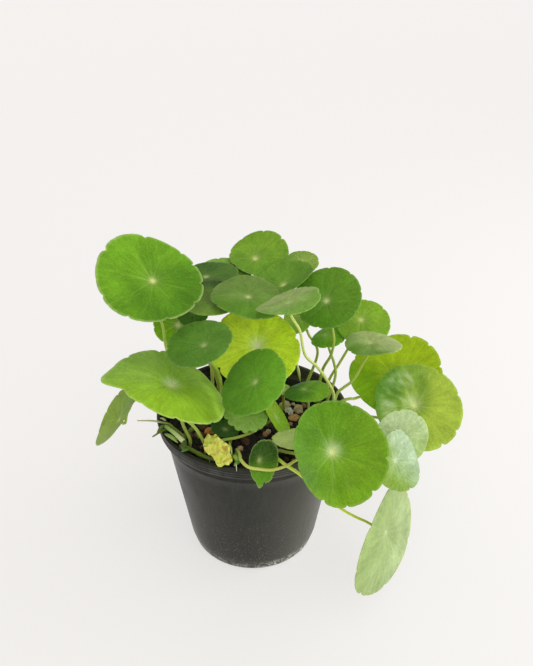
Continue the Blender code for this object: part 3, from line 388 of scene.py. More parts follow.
class Look(NamedTuple):
    """Colours of one leaf, from 0 to 255; on some leaves they carry painted sheen, painted shadow or painted
    light.
    """

    main: tuple
    other: tuple            # colour on the side that `bearing` points to; painted sheen on some leaves, painted shadow on front_rim
    bearing: float = 90
    blend: float = 0.0      # over 0, the second colour takes more of the blade
    veins: float = 0.5      # how clearly the veins show
    sheen_round_spot: float = 0.0       # painted sheen, whitish, round the stalk's spot
    streak_sheen: tuple = (0, 0.0) # (bearing, strength): painted sheen in whitish streaks over that side
    rim: float = 0.15       # how pale the rim is
    cuts: tuple = ()        # (bearing, width, depth): deeper cuts in the rim, in radii
    stalk: tuple = (184, 204, 84)


LOOKS = {
    "left_high": Look((84, 136, 26), (108, 160, 32), 150, veins=0.6, rim=0.4),
    "left_under": Look((130, 190, 22), (112, 166, 20), 90),
    "left_shade": Look((70, 120, 30), (58, 104, 26), 90),
    # left_low: the greyish second colour over its upper left is painted sheen, and so is the whitish patch
    # round its spot
    "left_low": Look((150, 194, 44), (138, 178, 72), 120, -0.25, veins=0.7, sheen_round_spot=0.7, rim=0.35),
    "left_hanging": Look((146, 176, 66), (126, 160, 56), 0),
    "top_high": Look((102, 148, 40), (118, 160, 44), 90, veins=0.4),
    "top_small": Look((132, 164, 64), (104, 142, 50), 200),
    "top_rim": Look((130, 170, 70), (120, 158, 64), 0, veins=0.3),
    "back_left": Look((62, 100, 34), (82, 122, 42), 0, -0.3, veins=0.3),
    # crown_dark: the paler second colour along its lower edge is painted sheen
    "crown_dark": Look((56, 82, 32), (132, 170, 62), -80, 0.15, veins=0.25),
    "crown_right": Look((88, 138, 30), (106, 152, 46), 110, veins=0.4),
    # crown_front: the greyish second colour over its top is painted sheen
    "crown_front": Look((92, 140, 34), (110, 142, 62), 90, 0.15, veins=0.35),
    # crown_pale: the pale grey-green second colour over its upper left is painted sheen
    "crown_pale": Look((122, 168, 62), (158, 180, 104), 120, 0.1, veins=0.3, stalk=(206, 220, 118)),
    # middle_lime: its main colour is brightened as painted light for the light it gets in its shaded place,
    # and the patch round its spot is painted sheen
    "middle_lime": Look((212, 240, 62), (198, 230, 46), 0, veins=0.5, sheen_round_spot=0.6),
    "front_left": Look((88, 136, 42), (96, 142, 50), 60, veins=0.2),
    "middle_dark": Look((112, 170, 44), (96, 148, 38), 180, veins=0.3),
    "middle_low": Look((144, 182, 84), (96, 144, 32), 90, veins=0.1, cuts=(
        (214, 4, 0.10), (238, 5, 0.12), (262, 4, 0.10), (285, 5, 0.13), (309, 4, 0.10))),
    "middle_band": Look((134, 174, 22), (124, 172, 16), 0, veins=0.0),
    "low_shade": Look((46, 88, 26), (58, 106, 30), 0, veins=0.2),
    "gravel": Look((66, 122, 14), (130, 182, 46), 0, -0.2, veins=0.2),
    "gravel_bud": Look((176, 216, 120), (158, 200, 90), 0),
    "right_dark": Look((98, 144, 38), (80, 130, 24), 210, veins=0.4),
    # right_shade: both colours are brightened far past its own as painted light, since it sits in the shade of
    # the leaves above
    "right_shade": Look((214, 246, 120), (170, 216, 90), -90, veins=0.3),
    "right_small": Look((110, 168, 42), (128, 186, 44), 0, veins=0.3),
    "right_back": Look((122, 164, 44), (130, 172, 46), 60, veins=0.4),
    # right_fold: the pale second colour over its upper right is painted sheen
    "right_fold": Look((100, 146, 42), (164, 182, 112), 40, 0.25, veins=0.3),
    "right_lime": Look((134, 184, 16), (166, 194, 28), 40, 0.2, veins=0.4),
    # right_big: the whitish streaks and the patch round its spot are painted sheen
    "right_big": Look((86, 138, 38), (158, 182, 60), -20, 0.2, veins=0.5, sheen_round_spot=0.35, streak_sheen=(150, 0.42)),
    # right_pale_back: the paler second colour over its top and the whitish streaks are painted sheen
    "right_pale_back": Look((168, 196, 118), (180, 202, 146), 100, veins=0.35, streak_sheen=(180, 0.4)),
    # right_pale_front: the whitish second colour over its upper right and the streaks are painted sheen
    "right_pale_front": Look((132, 166, 62), (164, 188, 150), 60, veins=0.12, streak_sheen=(80, 0.3)),
    # front_big: the whitish patch round its spot is painted sheen
    "front_big": Look((84, 134, 12), (104, 148, 16), -20, veins=0.4, sheen_round_spot=0.45, stalk=(200, 206, 90)),
    "front_hanging": Look((150, 174, 104), (160, 180, 124), 20, veins=0.12, stalk=(222, 244, 84)),
    # front_rim: the dark second colour over its upper part is painted shadow
    "front_rim": Look((96, 152, 28), (38, 76, 12), 90, 0.35, veins=0.1, rim=0.5, cuts=(
        (280, 4, 0.16), (319, 3, 0.07), (334, 3, 0.05), (258, 9, -0.16))),
    "low_pale": Look((190, 208, 124), (176, 196, 104), 0, veins=0.2),
    "behind_left": Look((104, 150, 40), (122, 164, 46), 60),
    "behind_middle": Look((84, 128, 34), (100, 144, 42), 60),
    "behind_right": Look((138, 176, 46), (124, 166, 42), 200),
    "behind_side": Look((100, 146, 38), (124, 166, 46), 100),
    "withered": Look((230, 236, 112), (212, 212, 96), 200, -0.3, veins=0.3, stalk=(190, 195, 80), cuts=(
        (44, 40, 0.34), (170, 12, 0.10), (250, 12, 0.08))),
}


def linear(colour):
    """A colour from 0 to 255 as it looks, as the numbers that the shaders take."""
    shares = [c / 255 for c in colour]
    return np.array([c / 12.92 if c <= 0.04045 else ((c + 0.055) / 1.055) ** 2.4 for c in shares])


def rgba(colour):
    """A colour from 0 to 255 as a shader's four numbers."""
    return (*(float(c) for c in linear(colour)), 1.0)


def blend(tones, colour, share):
    """Tones moved towards a colour, by one share or by a share for each point."""
    share = np.reshape(share, (-1, 1))
    return tones * (1 - share) + linear(colour) * share


def smooth(low, high, value):
    """0 below low, 1 above high and an even slope between."""
    share = np.clip((value - low) / (high - low), 0, 1)
    return share * share * (3 - 2 * share)


def direction(facing, tilt):
    """The unit vector that leans by tilt from straight up, towards a bearing."""
    lean, bearing = math.radians(tilt), math.radians(facing)
    return Vector((math.sin(lean) * math.cos(bearing), math.sin(lean) * math.sin(bearing), math.cos(lean)))


def soil_height(x, y):
    """Height of the soil's surface, without its small bumps."""
    return SOIL_TOP + SOIL_SLOPE[0] * x + SOIL_SLOPE[1] * y


def wall_radius(z):
    """Outside radius of the pot's plain wall at a height."""
    top = POT_RADIUS - LIP_STEP
    return FOOT_RADIUS + (top - FOOT_RADIUS) * z / POT_HEIGHT


def turned(profile, count):
    """Rings of points about the pot's axis, from pairs of a radius and a height."""
    turns = [math.tau * k / count for k in range(count)]
    return [(radius * math.cos(turn), radius * math.sin(turn), height)
            for radius, height in profile for turn in turns]


def quads(rings, count):
    """The faces between rings of points that follow one another."""
    faces = []
    for one in range(0, (rings - 1) * count, count):
        for k in range(count):
            after = (k + 1) % count
            faces.append((one + k, one + after, one + count + after, one + count + k))
    return faces


def add_piece(name, points, faces, material, slot, node, corners=None, tones=None, veins=1.0):
    """A mesh that rides on the plant's one body and takes the place of a CAD node.

    It can carry a vector for each face corner, and a colour for each point with how clearly veins show there.
    """
    mesh = bpy.data.meshes.new(name)
    mesh.from_pydata([tuple(p) for p in points], [], faces)
    mesh.polygons.foreach_set("use_smooth", [True] * len(mesh.polygons))
    mesh.materials.append(material)
    piece = bpy.data.objects.new(name, mesh)
    bpy.context.scene.collection.objects.link(piece)
    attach(piece, "root")
    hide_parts(node)
    if corners is not None:
        attribute = mesh.attributes.new("leaf_place", "FLOAT_VECTOR", "CORNER")
        attribute.data.foreach_set("vector", np.asarray(corners, np.float32).ravel())
    if tones is not None:
        attribute = mesh.attributes.new("tone", "FLOAT_COLOR", "POINT")
        attribute.data.foreach_set("color", np.insert(tones, 3, veins, axis=1).astype(np.float32).ravel())
    return piece


# The leaves

def lobes_of(leaf):
    """The lobes round a blade: the first bearing and the width of each, and its notches' depths."""
    draw = random.Random(leaf.node)
    starts = [math.radians(bearing) for bearing in leaf.notches]
    if not starts:
        widths = [1 + 0.30 * draw.uniform(-1, 1) for _ in range(LOBES)]
        starts = [draw.uniform(0, math.tau)]
        for width in widths[1:]:
            starts.append(starts[-1] + width * math.tau / sum(widths))
    depths = [NOTCH * draw.uniform(0.5, 1.5) for _ in starts]
    lobes = []
    for index, start in enumerate(starts):
        after = (index + 1) % len(starts)
        lobes.append((start, (starts[after] - start) % math.tau, depths[index], depths[after]))
    return lobes


def bell(bearing, middle, width):
    """1 where a bearing meets a middle, and less beyond a width; the last two are in degrees."""
    offset = (bearing - math.radians(middle) + math.pi) % math.tau - math.pi
    return np.exp(-((offset / math.radians(width)) ** 2))


def rim_of(leaf, columns):
    """For each column round the blade: its bearing, the rim's reach there and its place counted in lobes."""
    rows = []
    for index, (start, width, first, last) in enumerate(lobes_of(leaf)):
        for column in range(columns):
            along = column / columns
            bearing = start + width * along
            depth = first + (last - first) * along
            out = abs(2 * along - 1)
            teeth = SUB_NOTCH * (1 - abs(math.sin(3 * math.pi * along))) ** 3
            for middle, spread, cut in LOOKS[leaf.name].cuts:
                teeth += cut * bell(bearing, middle, spread)
            rows.append((bearing, 1 - depth * (0.60 * out**10 + 0.25 * out**3) - teeth, index + along))
    return np.array(rows).T


def shape_blade(leaf, reach, bearing):
    """Places of points of the blade, in radii, before it is tilted: folded, cupped, dimpled and waved."""
    draw = random.Random(leaf.node + " waves")
    phases = [draw.uniform(0, math.tau) for _ in range(3)]
    for middle, width, amount in leaf.bulges:
        reach = reach + amount * reach**3 * bell(bearing, middle, width)
    crease = math.radians(leaf.crease)
    along = reach * np.cos(bearing - crease) * math.sqrt(leaf.stretch)
    across = reach * np.sin(bearing - crease) / math.sqrt(leaf.stretch)
    turn = math.radians(leaf.fold) * across / np.hypot(across, FOLD_SOFTNESS)
    height = across * np.sin(turn) + leaf.cup * reach**2 + leaf.twist * along * across + leaf.bow * along**2
    height = height + DIMPLE * (1 - np.exp(-((reach / DIMPLE_REACH) ** 2)))
    across = across * np.cos(turn)
    waves = np.sin(2 * bearing + phases[0]) + 0.7 * np.sin(3 * bearing + phases[1])
    waves = waves + 0.35 * np.sin(5 * bearing + phases[2])
    height = height + RUFFLE * leaf.ruffle * waves * reach**3
    cos_crease, sin_crease = math.cos(crease), math.sin(crease)
    return np.stack([along * cos_crease - across * sin_crease + leaf.shift[0] * reach,
                     along * sin_crease + across * cos_crease + leaf.shift[1] * reach, height], -1)


def towards(flat, bearing):
    """How far points lie from the stalk towards a bearing, in radii."""
    heading = math.radians(bearing)
    return flat[:, 0] * math.cos(heading) + flat[:, 1] * math.sin(heading)


def clouds(flat, level, scale, offset):
    """Soft random numbers over a blade, about 0."""
    return np.array([noise.noise(Vector((p[0], p[1], level)) * scale + offset) for p in flat])


def blade_tones(leaf, flat, share):
    """A colour for each point of a blade's upper side, painted sheen included, from its place in radii and its
    share of the reach.
    """
    look = LOOKS[leaf.name]
    draw = random.Random(leaf.node + " tones")
    offset = Vector((draw.uniform(0, 50), draw.uniform(0, 50), 0))
    cloud = clouds(flat, 0, 2.2, offset)
    grain = clouds(flat, 3, 7, offset)
    other = smooth(-0.7, 0.7, towards(flat, look.bearing) + look.blend + 0.45 * cloud)
    tones = blend(linear(look.main), look.other, other)
    tones = tones * (1 + CLOUD_SHADE * cloud + GRAIN_SHADE * grain)[:, None]
    streaks = []
    for x, y, _ in flat:
        around = math.atan2(y, x)
        spot = Vector((math.cos(around) * 13, math.sin(around) * 13, 7 * math.hypot(x, y)))
        streaks.append(noise.noise(spot + offset))
    # painted sheen: whitish streaks over the side that the bearing points to, fading out near the rim
    bearing, strength = look.streak_sheen
    streak_sheen_share = strength * smooth(-0.2, 0.6, towards(flat, bearing))
    streak_sheen_share = streak_sheen_share * smooth(-0.3, 0.6, 0.25 * np.array(streaks) + 0.7 * cloud + 0.7 * grain)
    tones = blend(tones, STREAK_SHEEN_TONE, streak_sheen_share * (1 - smooth(0.70, 0.95, share)))
    # painted sheen: a whitish patch round the pale spot over the stalk
    distance = np.hypot(flat[:, 0], flat[:, 1] - SPOT_SHEEN_OFFSET) * leaf.radius
    tones = blend(tones, SPOT_SHEEN_TONE, look.sheen_round_spot * np.exp(-((distance / SPOT_SHEEN_REACH) ** 2)) * (1 + 0.5 * grain))
    return blend(tones, RIM_PALE, smooth(0.965, 1.0, share) * look.rim)


def wither_tones(flat, tones):
    """Brown, pale and green patches over a withered blade's tones."""
    broad = clouds(flat, 7, 3.4, Vector())
    fine = clouds(flat, 9, 9, Vector())
    tones = blend(tones, WITHER_PALE, 0.6 * smooth(0.05, 0.45, fine))
    tones = blend(tones, WITHER_BROWN, 0.75 * smooth(0.10, 0.5, broad))
    return blend(tones, WITHER_GREEN, 0.6 * smooth(0.15, 0.5, -broad))


def crumple(flat):
    """Sharp creases for a withered blade, in radii."""
    moves = []
    for spot in flat:
        place = Vector(spot)
        crease = sum(size * (0.25 - abs(noise.noise(place * scale))) for size, scale in CREASES)
        drift = [DRIFT * noise.noise(place * DRIFT_SCALE + Vector(start)) for start in DRIFT_STARTS]
        moves.append((drift[0], drift[1], crease + drift[2]))
    return np.array(moves)


def build_blade(leaf, material):
    """The blade as a thin closed shell with a rounded edge, swelling between its veins."""
    look = LOOKS[leaf.name]
    withered = leaf is WITHERED
    small = leaf.radius < SMALL_LEAF and not withered
    columns, rings = (SMALL_COLUMNS, SMALL_RINGS) if small else (LOBE_COLUMNS, BLADE_RINGS)
    bearings, reaches, places = rim_of(leaf, columns)
    count = len(bearings)
    shares = (np.arange(1, rings + 1) / rings) ** RING_SPREAD
    shares[-1] = 1 - EDGE_ROUND / leaf.radius
    share = np.repeat([*shares, 1.0], count)
    column = np.tile(np.arange(count), rings + 1)
    reach = share * (1 - (1 - reaches[column]) * share**NOTCH_FADE)
    flat = shape_blade(leaf, reach, bearings[column])
    vein = np.abs(places[column] % 1 - 0.5)
    flat[:, 2] += QUILT * np.sin(math.pi * vein) ** 2 * 4 * share * (1 - share)
    if withered:
        flat += crumple(flat)
    turn = np.array(Vector((0, 0, 1)).rotation_difference(direction(leaf.facing, leaf.tilt)).to_matrix())
    world = (flat * leaf.radius) @ turn.T + leaf.centre
    middle = (shape_blade(leaf, np.zeros(1), np.zeros(1)) * leaf.radius) @ turn.T + leaf.centre
    up = turn[:, 2]
    body = count * rings
    thick = (BLADE * (1 - THIN_EDGE * share**6))[:, None]
    edge = world[body:] - up * (thick[body:] / 2)
    lower = world[:body] - up * thick[:body]
    points = np.vstack([world[:body], edge, lower, middle, middle - up * BLADE])
    tones = blade_tones(leaf, flat, share)
    if withered:
        tones = wither_tones(flat, tones)
    hub = linear(look.main)
    tones = np.clip(np.vstack([tones, blend(tones[:body], UNDERSIDE, UNDERSIDE_SHARE), hub, hub]), 0, 1)
    faces, corners = blade_faces(count, rings, places, shares, leaf.radius)
    add_piece("blade_" + leaf.name, points, faces, material, leaf.paint, leaf.node,
              corners, tones, look.veins)


def blade_faces(count, rings, places, shares, radius):
    """Faces of a blade, and each corner's place in lobes, share of the reach and millimetres out."""
    faces, corners = [], []
    lower = count * (rings + 1)
    top_middle = lower + count * rings
    starts = [*range(0, lower, count), *reversed(range(lower, top_middle, count))]
    share_of = [*shares, 1.0, *reversed(shares)]
    nexts = [*places[1:], round(places[-1] + 0.5)]
    columns = [(k, (k + 1) % count, places[k], nexts[k]) for k in range(count)]
    for one, two, near, far in zip(starts, starts[1:], share_of, share_of[1:]):
        for k, after, here, there in columns:
            faces.append((one + k, two + k, two + after, one + after))
            corners += [(here, near), (here, far), (there, far), (there, near)]
    first = shares[0]
    for k, after, here, there in columns:
        faces += [(top_middle, k, after), (top_middle + 1, lower + after, lower + k)]
        corners += [(here, 0), (here, first), (there, first), (here, 0), (there, first), (here, first)]
    return faces, [(place, share, share * radius * 1000) for place, share in corners]


# The stalks

def spline(before, start, end, after, share):
    """A point between start and end of a smooth curve through four points."""
    first = (end - before) * 0.5
    last = (after - start) * 0.5
    square, cube = share**2, share**3
    return (start * (2 * cube - 3 * square + 1) + first * (cube - 2 * square + share)
            + end * (3 * square - 2 * cube) + last * (cube - square))


def curve_through(knots, steps):
    """Points of the smooth curve through all knots but the first and the last."""
    curve = []
    for four in zip(knots, knots[1:], knots[2:], knots[3:]):
        curve += [spline(*four, step / steps) for step in range(steps)]
    return curve


def even_points(curve, piece):
    """The curve's points taken again, about `piece` apart."""
    lengths = [0.0]
    for one, two in zip(curve, curve[1:]):
        lengths.append(lengths[-1] + (two - one).length)
    steps = max(4, round(lengths[-1] / piece))
    points, index = [], 0
    for step in range(steps + 1):
        goal = lengths[-1] * step / steps
        while index < len(curve) - 2 and lengths[index + 1] < goal:
            index += 1
        span = max(lengths[index + 1] - lengths[index], 1e-9)
        points.append(curve[index].lerp(curve[index + 1], min(1.0, (goal - lengths[index]) / span)))
    return points


def stalk_line(leaf):
    """Points along a stalk's middle, from inside the blade to its end in the soil."""
    up = direction(leaf.facing, leaf.tilt)
    top = Vector(leaf.centre) - up * BLADE
    ground = soil_height(*leaf.root)
    foot = Vector((*leaf.root, ground))
    rise = Vector((0, 0, STALK_HOLE * 2.4))
    knots = [top + up * leaf.neck, top, top - up * leaf.neck, *map(Vector, leaf.via), foot + rise, foot]
    knots += [foot - rise, foot - 2 * rise]
    curve = curve_through(knots, SPLINE_STEPS)
    buried = [p for p in curve[-SPLINE_STEPS:] if p.z > ground - STALK_DEPTH]
    return even_points([*curve[:-SPLINE_STEPS], *buried, foot - Vector((0, 0, STALK_DEPTH))], STALK_PIECE)


def add_tube(name, line, radii, sides, tones, material, slot, node):
    """A closed round tube along a line, with a radius and a colour for each of its points.

    Each corner carries its share of the way round, its millimetres along and 0.
    """
    heading = (line[1] - line[0]).normalized()
    axis_x = heading.orthogonal().normalized()
    points, outs = [], [0.0]
    for index, spot in enumerate(line):
        ahead = (line[min(index + 1, len(line) - 1)] - line[max(index - 1, 0)]).normalized()
        axis_x = heading.rotation_difference(ahead) @ axis_x
        heading = ahead
        axis_y = heading.cross(axis_x)
        for side in range(sides):
            angle = math.tau * side / sides
            points.append(spot + (axis_x * math.cos(angle) + axis_y * math.sin(angle)) * radii[index])
    corners = []
    for one, two in zip(line, line[1:]):
        outs.append(outs[-1] + (two - one).length * 1000)
        near, far = outs[-2:]
        for side in range(sides):
            left, right = side / sides, (side + 1) / sides
            corners += [(left, near, 0), (right, near, 0), (right, far, 0), (left, far, 0)]
    end = len(points)
    faces = [*quads(len(line), sides), tuple(reversed(range(sides))), tuple(range(end - sides, end))]
    corners += [(0, 0, 0)] * sides + [(0, outs[-1], 0)] * sides
    add_piece(name, points, faces, material, slot, node, corners, np.repeat(tones, sides, axis=0))


def build_stalk(leaf, material):
    """The stalk, flared where it meets the blade."""
    line = stalk_line(leaf)
    last = len(line) - 1
    radii = [(STALK_NECK + (STALK_FOOT - STALK_NECK) * index / last)
             * (1 + STALK_FLARE * math.exp(-index * STALK_PIECE / STALK_FLARE_LENGTH))
             for index in range(last + 1)]
    share = np.arange(last + 1) / last
    tones = blend(linear(LOOKS[leaf.name].stalk), STALK_FOOT_TONE, share**2 * 0.5)
    add_tube("stalk_" + leaf.name, line, radii, STALK_SIDES, tones, material, leaf.paint, leaf.node)


# Materials

class Graph:
    """Short ways to add the nodes of one material."""

    def __init__(self, name):
        self.material = bpy.data.materials.new(name)
        self.material.use_nodes = True
        self.tree = self.material.node_tree

    def node(self, kind, **settings):
        made = self.tree.nodes.new("ShaderNode" + kind)
        for key, value in settings.items():
            setattr(made, key, value)
        return made

    def fill(self, made, sockets):
        """Links the sources to a node's sockets, or sets their values."""
        for key, source in sockets.items():
            if isinstance(source, (int, float, tuple)):
                made.inputs[key].default_value = source
            else:
                self.tree.links.new(source, made.inputs[key])
        return made.outputs

    def surface(self, sockets):
        """Fills the material's own shader and hands the material over."""
        self.fill(self.tree.nodes["Principled BSDF"], sockets)
        return self.material

    def math(self, operation, *values, clamp=False):
        made = self.node("Math", operation=operation, use_clamp=clamp)
        return self.fill(made, dict(enumerate(values)))[0]

    def times(self, first, second, clamp=False):
        return self.math("MULTIPLY", first, second, clamp=clamp)

    def fade(self, value, pace):
        """1 at 0, and less the further the value is from it."""
        return self.math("EXPONENT", self.times(value, -pace))

    def slope(self, value, low, high, first=0.0, last=1.0):
        """Smooth step of a value between low and high."""
        made = self.node("MapRange", interpolation_type="SMOOTHSTEP")
        return self.fill(made, dict(enumerate((value, low, high, first, last))))[0]

    def mix(self, share, first, second, blend_type="MIX"):
        """Two colours mixed; each is a link, or a colour from 0 to 255."""
        made = self.node("Mix", data_type="RGBA", blend_type=blend_type)
        first, second = (rgba(c) if isinstance(c, tuple) else c for c in (first, second))
        return self.fill(made, {0: share, 6: first, 7: second})[2]

    def shade(self, colour, factor):
        """A colour times one number."""
        grey = self.fill(self.node("CombineColor"), {0: factor, 1: factor, 2: factor})[0]
        return self.mix(1.0, colour, grey, "MULTIPLY")

    def attribute(self, name):
        return self.node("Attribute", attribute_name=name).outputs

    def place(self):
        return self.node("TexCoord").outputs["Object"]

    def split(self, vector):
        return self.fill(self.node("SeparateXYZ"), {0: vector})

    def join(self, *values):
        return self.fill(self.node("CombineXYZ"), dict(enumerate(values)))[0]

    def noise(self, vector, scale, detail=2.0, rough=0.5):
        return self.fill(self.node("TexNoise"), {
            "Vector": vector, "Scale": scale, "Detail": detail, "Roughness": rough})["Fac"]

    def cells(self, vector, scale):
        made = self.node("TexVoronoi", feature="DISTANCE_TO_EDGE")
        return self.fill(made, {"Vector": vector, "Scale": scale})["Distance"]

    def bump(self, height, distance, strength):
        sockets = {"Strength": strength, "Distance": distance, "Height": height}
        return self.fill(self.node("Bump"), sockets)["Normal"]

    def vein_line(self, offset, out, width):
        """1 on a vein and 0 beside it, from the offset in lobes, the millimetres out and the half width."""
        distance = self.times(self.times(offset, out), math.tau / LOBES)
        return self.math("SUBTRACT", 1.0, self.slope(self.math("DIVIDE", distance, width), 0.25, 1.0))

    def apart(self, first, second):
        """How far two numbers are apart."""
        return self.math("ABSOLUTE", self.math("SUBTRACT", first, second))


def leaf_material(name, roughness, vein, spot):
    """A blade: its tones, which carry painted sheen, forked veins, a fine net between them, a pale spot and a
    satin gloss.
    """
    graph = Graph(name)
    lobe, share, out = graph.split(graph.attribute("leaf_place")["Vector"])
    place = graph.place()
    tone = graph.attribute("tone")
    turn = graph.times(lobe, math.tau / LOBES)
    east = graph.times(graph.math("COSINE", turn), 7.0)
    north = graph.times(graph.math("SINE", turn), 7.0)
    ray = graph.noise(graph.join(east, north, graph.times(share, 1.6)), 1.6, 3.0, 0.6)
    # the veins: one along the middle of each lobe, which forks twice, and short ones between the lobes
    wander = graph.math("MULTIPLY_ADD", graph.noise(place, 200), 0.14, -0.07)
    off_main = graph.apart(graph.math("FRACT", graph.math("ADD", lobe, wander)), 0.5)
    off_fork = graph.apart(off_main, graph.slope(share, 0.40, 1.02, 0.0, 0.27))
    off_twig = graph.apart(off_fork, graph.slope(share, 0.66, 1.04, 0.0, 0.11))
    ridge = graph.vein_line(off_twig, out, graph.slope(share, 0.0, 0.9, 0.40, 0.18))
    between = graph.vein_line(graph.math("SUBTRACT", 0.5, off_main), out, 0.30)
    shown = graph.times(ridge, graph.math("MULTIPLY_ADD", graph.fade(out, 0.15), 0.90, 0.13))
    shown = graph.math("MULTIPLY_ADD", between, graph.fade(out, 0.30), shown)
    shown = graph.times(shown, graph.slope(ray, 0.30, 0.62, 0.45, 1.15))
    shown = graph.times(shown, tone["Alpha"], clamp=True)
    # the net of the finest veins, and the light and dark of the blade's own colour
    net = graph.cells(place, 620)
    net_line = graph.slope(net, 0.0, 0.09, 1.0, 0.0)
    mottle = graph.noise(place, 900, 3.0)
    base = graph.mix(graph.times(net_line, 0.10), tone["Color"], vein)
    base = graph.shade(base, graph.times(graph.slope(mottle, 0.3, 0.7, 0.91, 1.09),
                                         graph.slope(ray, 0.3, 0.7, 0.90, 1.10)))
    base = graph.mix(shown, base, vein)
    # the pale spot over the stalk
    centre = graph.fade(graph.times(out, out), 0.42)
    halo = graph.times(graph.fade(out, 0.45), 0.28)
    clear = graph.slope(tone["Alpha"], 0.0, 0.7, 0.30, 0.95)
    base = graph.mix(graph.times(graph.math("ADD", centre, halo), clear, clamp=True), base, spot)
    gloss = graph.slope(graph.noise(place, 420), 0.3, 0.7, roughness - 0.05, roughness + 0.07)
    relief = graph.math("MULTIPLY_ADD", ridge, -0.5, graph.times(net, 0.9))
    relief = graph.math("MULTIPLY_ADD", mottle, 0.35, relief)
    return graph.surface({
        "Base Color": base, "Roughness": gloss, "Normal": graph.bump(relief, 0.00014, 0.6),
        "Subsurface Weight": 0.10, "Subsurface Radius": (0.5, 1.0, 0.15), "Subsurface Scale": 0.0012,
        "Specular IOR Level": 0.10})


def stalk_material():
    """Stalks: pale green with fine streaks along them."""
    graph = Graph("stalk")
    round_it, along, _ = graph.split(graph.attribute("leaf_place")["Vector"])
    turn = graph.times(round_it, math.tau)
    east = graph.times(graph.math("SINE", turn), 2.0)
    north = graph.times(graph.math("COSINE", turn), 2.0)
    streak = graph.noise(graph.join(east, north, graph.times(along, 0.06)), 2.4, 3.0)
    base = graph.shade(graph.attribute("tone")["Color"], graph.slope(streak, 0.3, 0.7, 0.82, 1.14))
    return graph.surface({
        "Base Color": base, "Roughness": graph.slope(streak, 0.2, 0.8, 0.36, 0.50),
        "Normal": graph.bump(streak, 0.0001, 0.6),
        "Subsurface Weight": 0.2, "Subsurface Radius": (0.6, 1.0, 0.2), "Subsurface Scale": 0.0015})


def pot_material():
    """Thin black plastic: satin, brushed and scuffed, pale on its moulded rings and round its foot, with a
    painted sheen in patches towards its right side.
    """
    graph = Graph("pot_black")
    place = graph.place()
    squeezed = graph.fill(graph.node("Mapping"), {"Vector": place, "Scale": (1.0, 1.0, 0.14)})[0]
    brush = graph.noise(squeezed, 520, 3.0, 0.6)
    scuff = graph.noise(squeezed, 110, 6.0, 0.62)
    cloud = graph.noise(place, 26, 3.0, 0.55)
    speck = graph.noise(place, 1500, 2.0, 0.6)
    scratches = graph.times(graph.slope(scuff, 0.50, 0.72), graph.slope(cloud, 0.42, 0.62))
    sideways, _, height = graph.split(place)
    base = graph.mix(graph.slope(brush, 0.25, 0.75), *PLASTIC)
    # painted sheen: lighter in patches towards the right side (+X), where light would catch the curve
    right_sheen = graph.times(graph.slope(sideways, -0.01, 0.048, 0.0, 0.58),
                       graph.slope(cloud, 0.25, 0.7, 0.6, 1.0))
    base = graph.mix(right_sheen, base, PLASTIC_RIGHT_SHEEN)
    base = graph.mix(graph.times(scratches, 0.35), base, PLASTIC_SCRATCH)
    dust = graph.times(graph.slope(speck, 0.60, 0.72), graph.slope(height, 0.0, 0.06, 0.9, 0.15))
    base = graph.mix(dust, base, DUST)
    for ring in LIP_RINGS:
        gap = graph.apart(height, POT_HEIGHT - LIP_HEIGHT + ring)
        line = graph.times(graph.slope(gap, 0.0001, 0.0004, 1.0, 0.0), graph.slope(scuff, 0.36, 0.60))
        base = graph.mix(graph.times(line, 0.5), base, RING_WEAR)
    foot = graph.times(graph.slope(height, 0.0030, 0.0105, 1.0, 0.0),
                       graph.slope(graph.noise(place, 480, 5.0, 0.8), 0.47, 0.57))
    foot = graph.times(foot, graph.slope(sideways, 0.000, 0.016, 0.36, 0.95))
    base = graph.mix(foot, base, FOOT_CHALK)
    gloss = graph.math("MULTIPLY_ADD", scratches, 0.20, graph.slope(cloud, 0.3, 0.7, 0.33, 0.42))
    relief = graph.math("ADD", graph.times(brush, 0.6), graph.times(speck, 0.3))
    return graph.surface({"Base Color": base, "Specular IOR Level": 0.28, "Roughness": gloss,
                          "Normal": graph.bump(relief, 0.00012, 0.5)})


def soil_material():
    """Dark moist soil, brown to black, with paler grains."""
    graph = Graph("soil")
    place = graph.place()
    clump = graph.noise(place, 260, 4.0, 0.6)
    grain = graph.noise(place, 1500, 3.0, 0.6)
    base = graph.mix(graph.slope(clump, 0.38, 0.66), *SOIL_TONES)
    base = graph.mix(graph.times(graph.slope(grain, 0.58, 0.70), 0.6), base, SOIL_GRAIN)
    return graph.surface({"Base Color": base, "Roughness": graph.slope(grain, 0.3, 0.7, 0.72, 0.95),
                          "Normal": graph.bump(graph.math("ADD", clump, grain), 0.0006, 0.8)})


def stone_material():
    """Gravel: each stone's own colour, mottled."""
    graph = Graph("gravel")
    mottle = graph.noise(graph.place(), 900, 4.0, 0.6)
    base = graph.shade(graph.attribute("tone")["Color"], graph.slope(mottle, 0.3, 0.72, 0.62, 1.25))
    return graph.surface({"Base Color": base, "Roughness": graph.slope(mottle, 0.3, 0.7, 0.55, 0.85),
                          "Normal": graph.bump(mottle, 0.0004, 0.7)})


# The pot

def arc(radius, middle, height, first, last, steps):
    """Radii and heights along part of a circle in the pot's section, from one angle to another."""
    angles = [math.radians(first + (last - first) * step / steps) for step in range(steps + 1)]
    return [(middle + radius * math.cos(angle), height + radius * math.sin(angle)) for angle in angles]


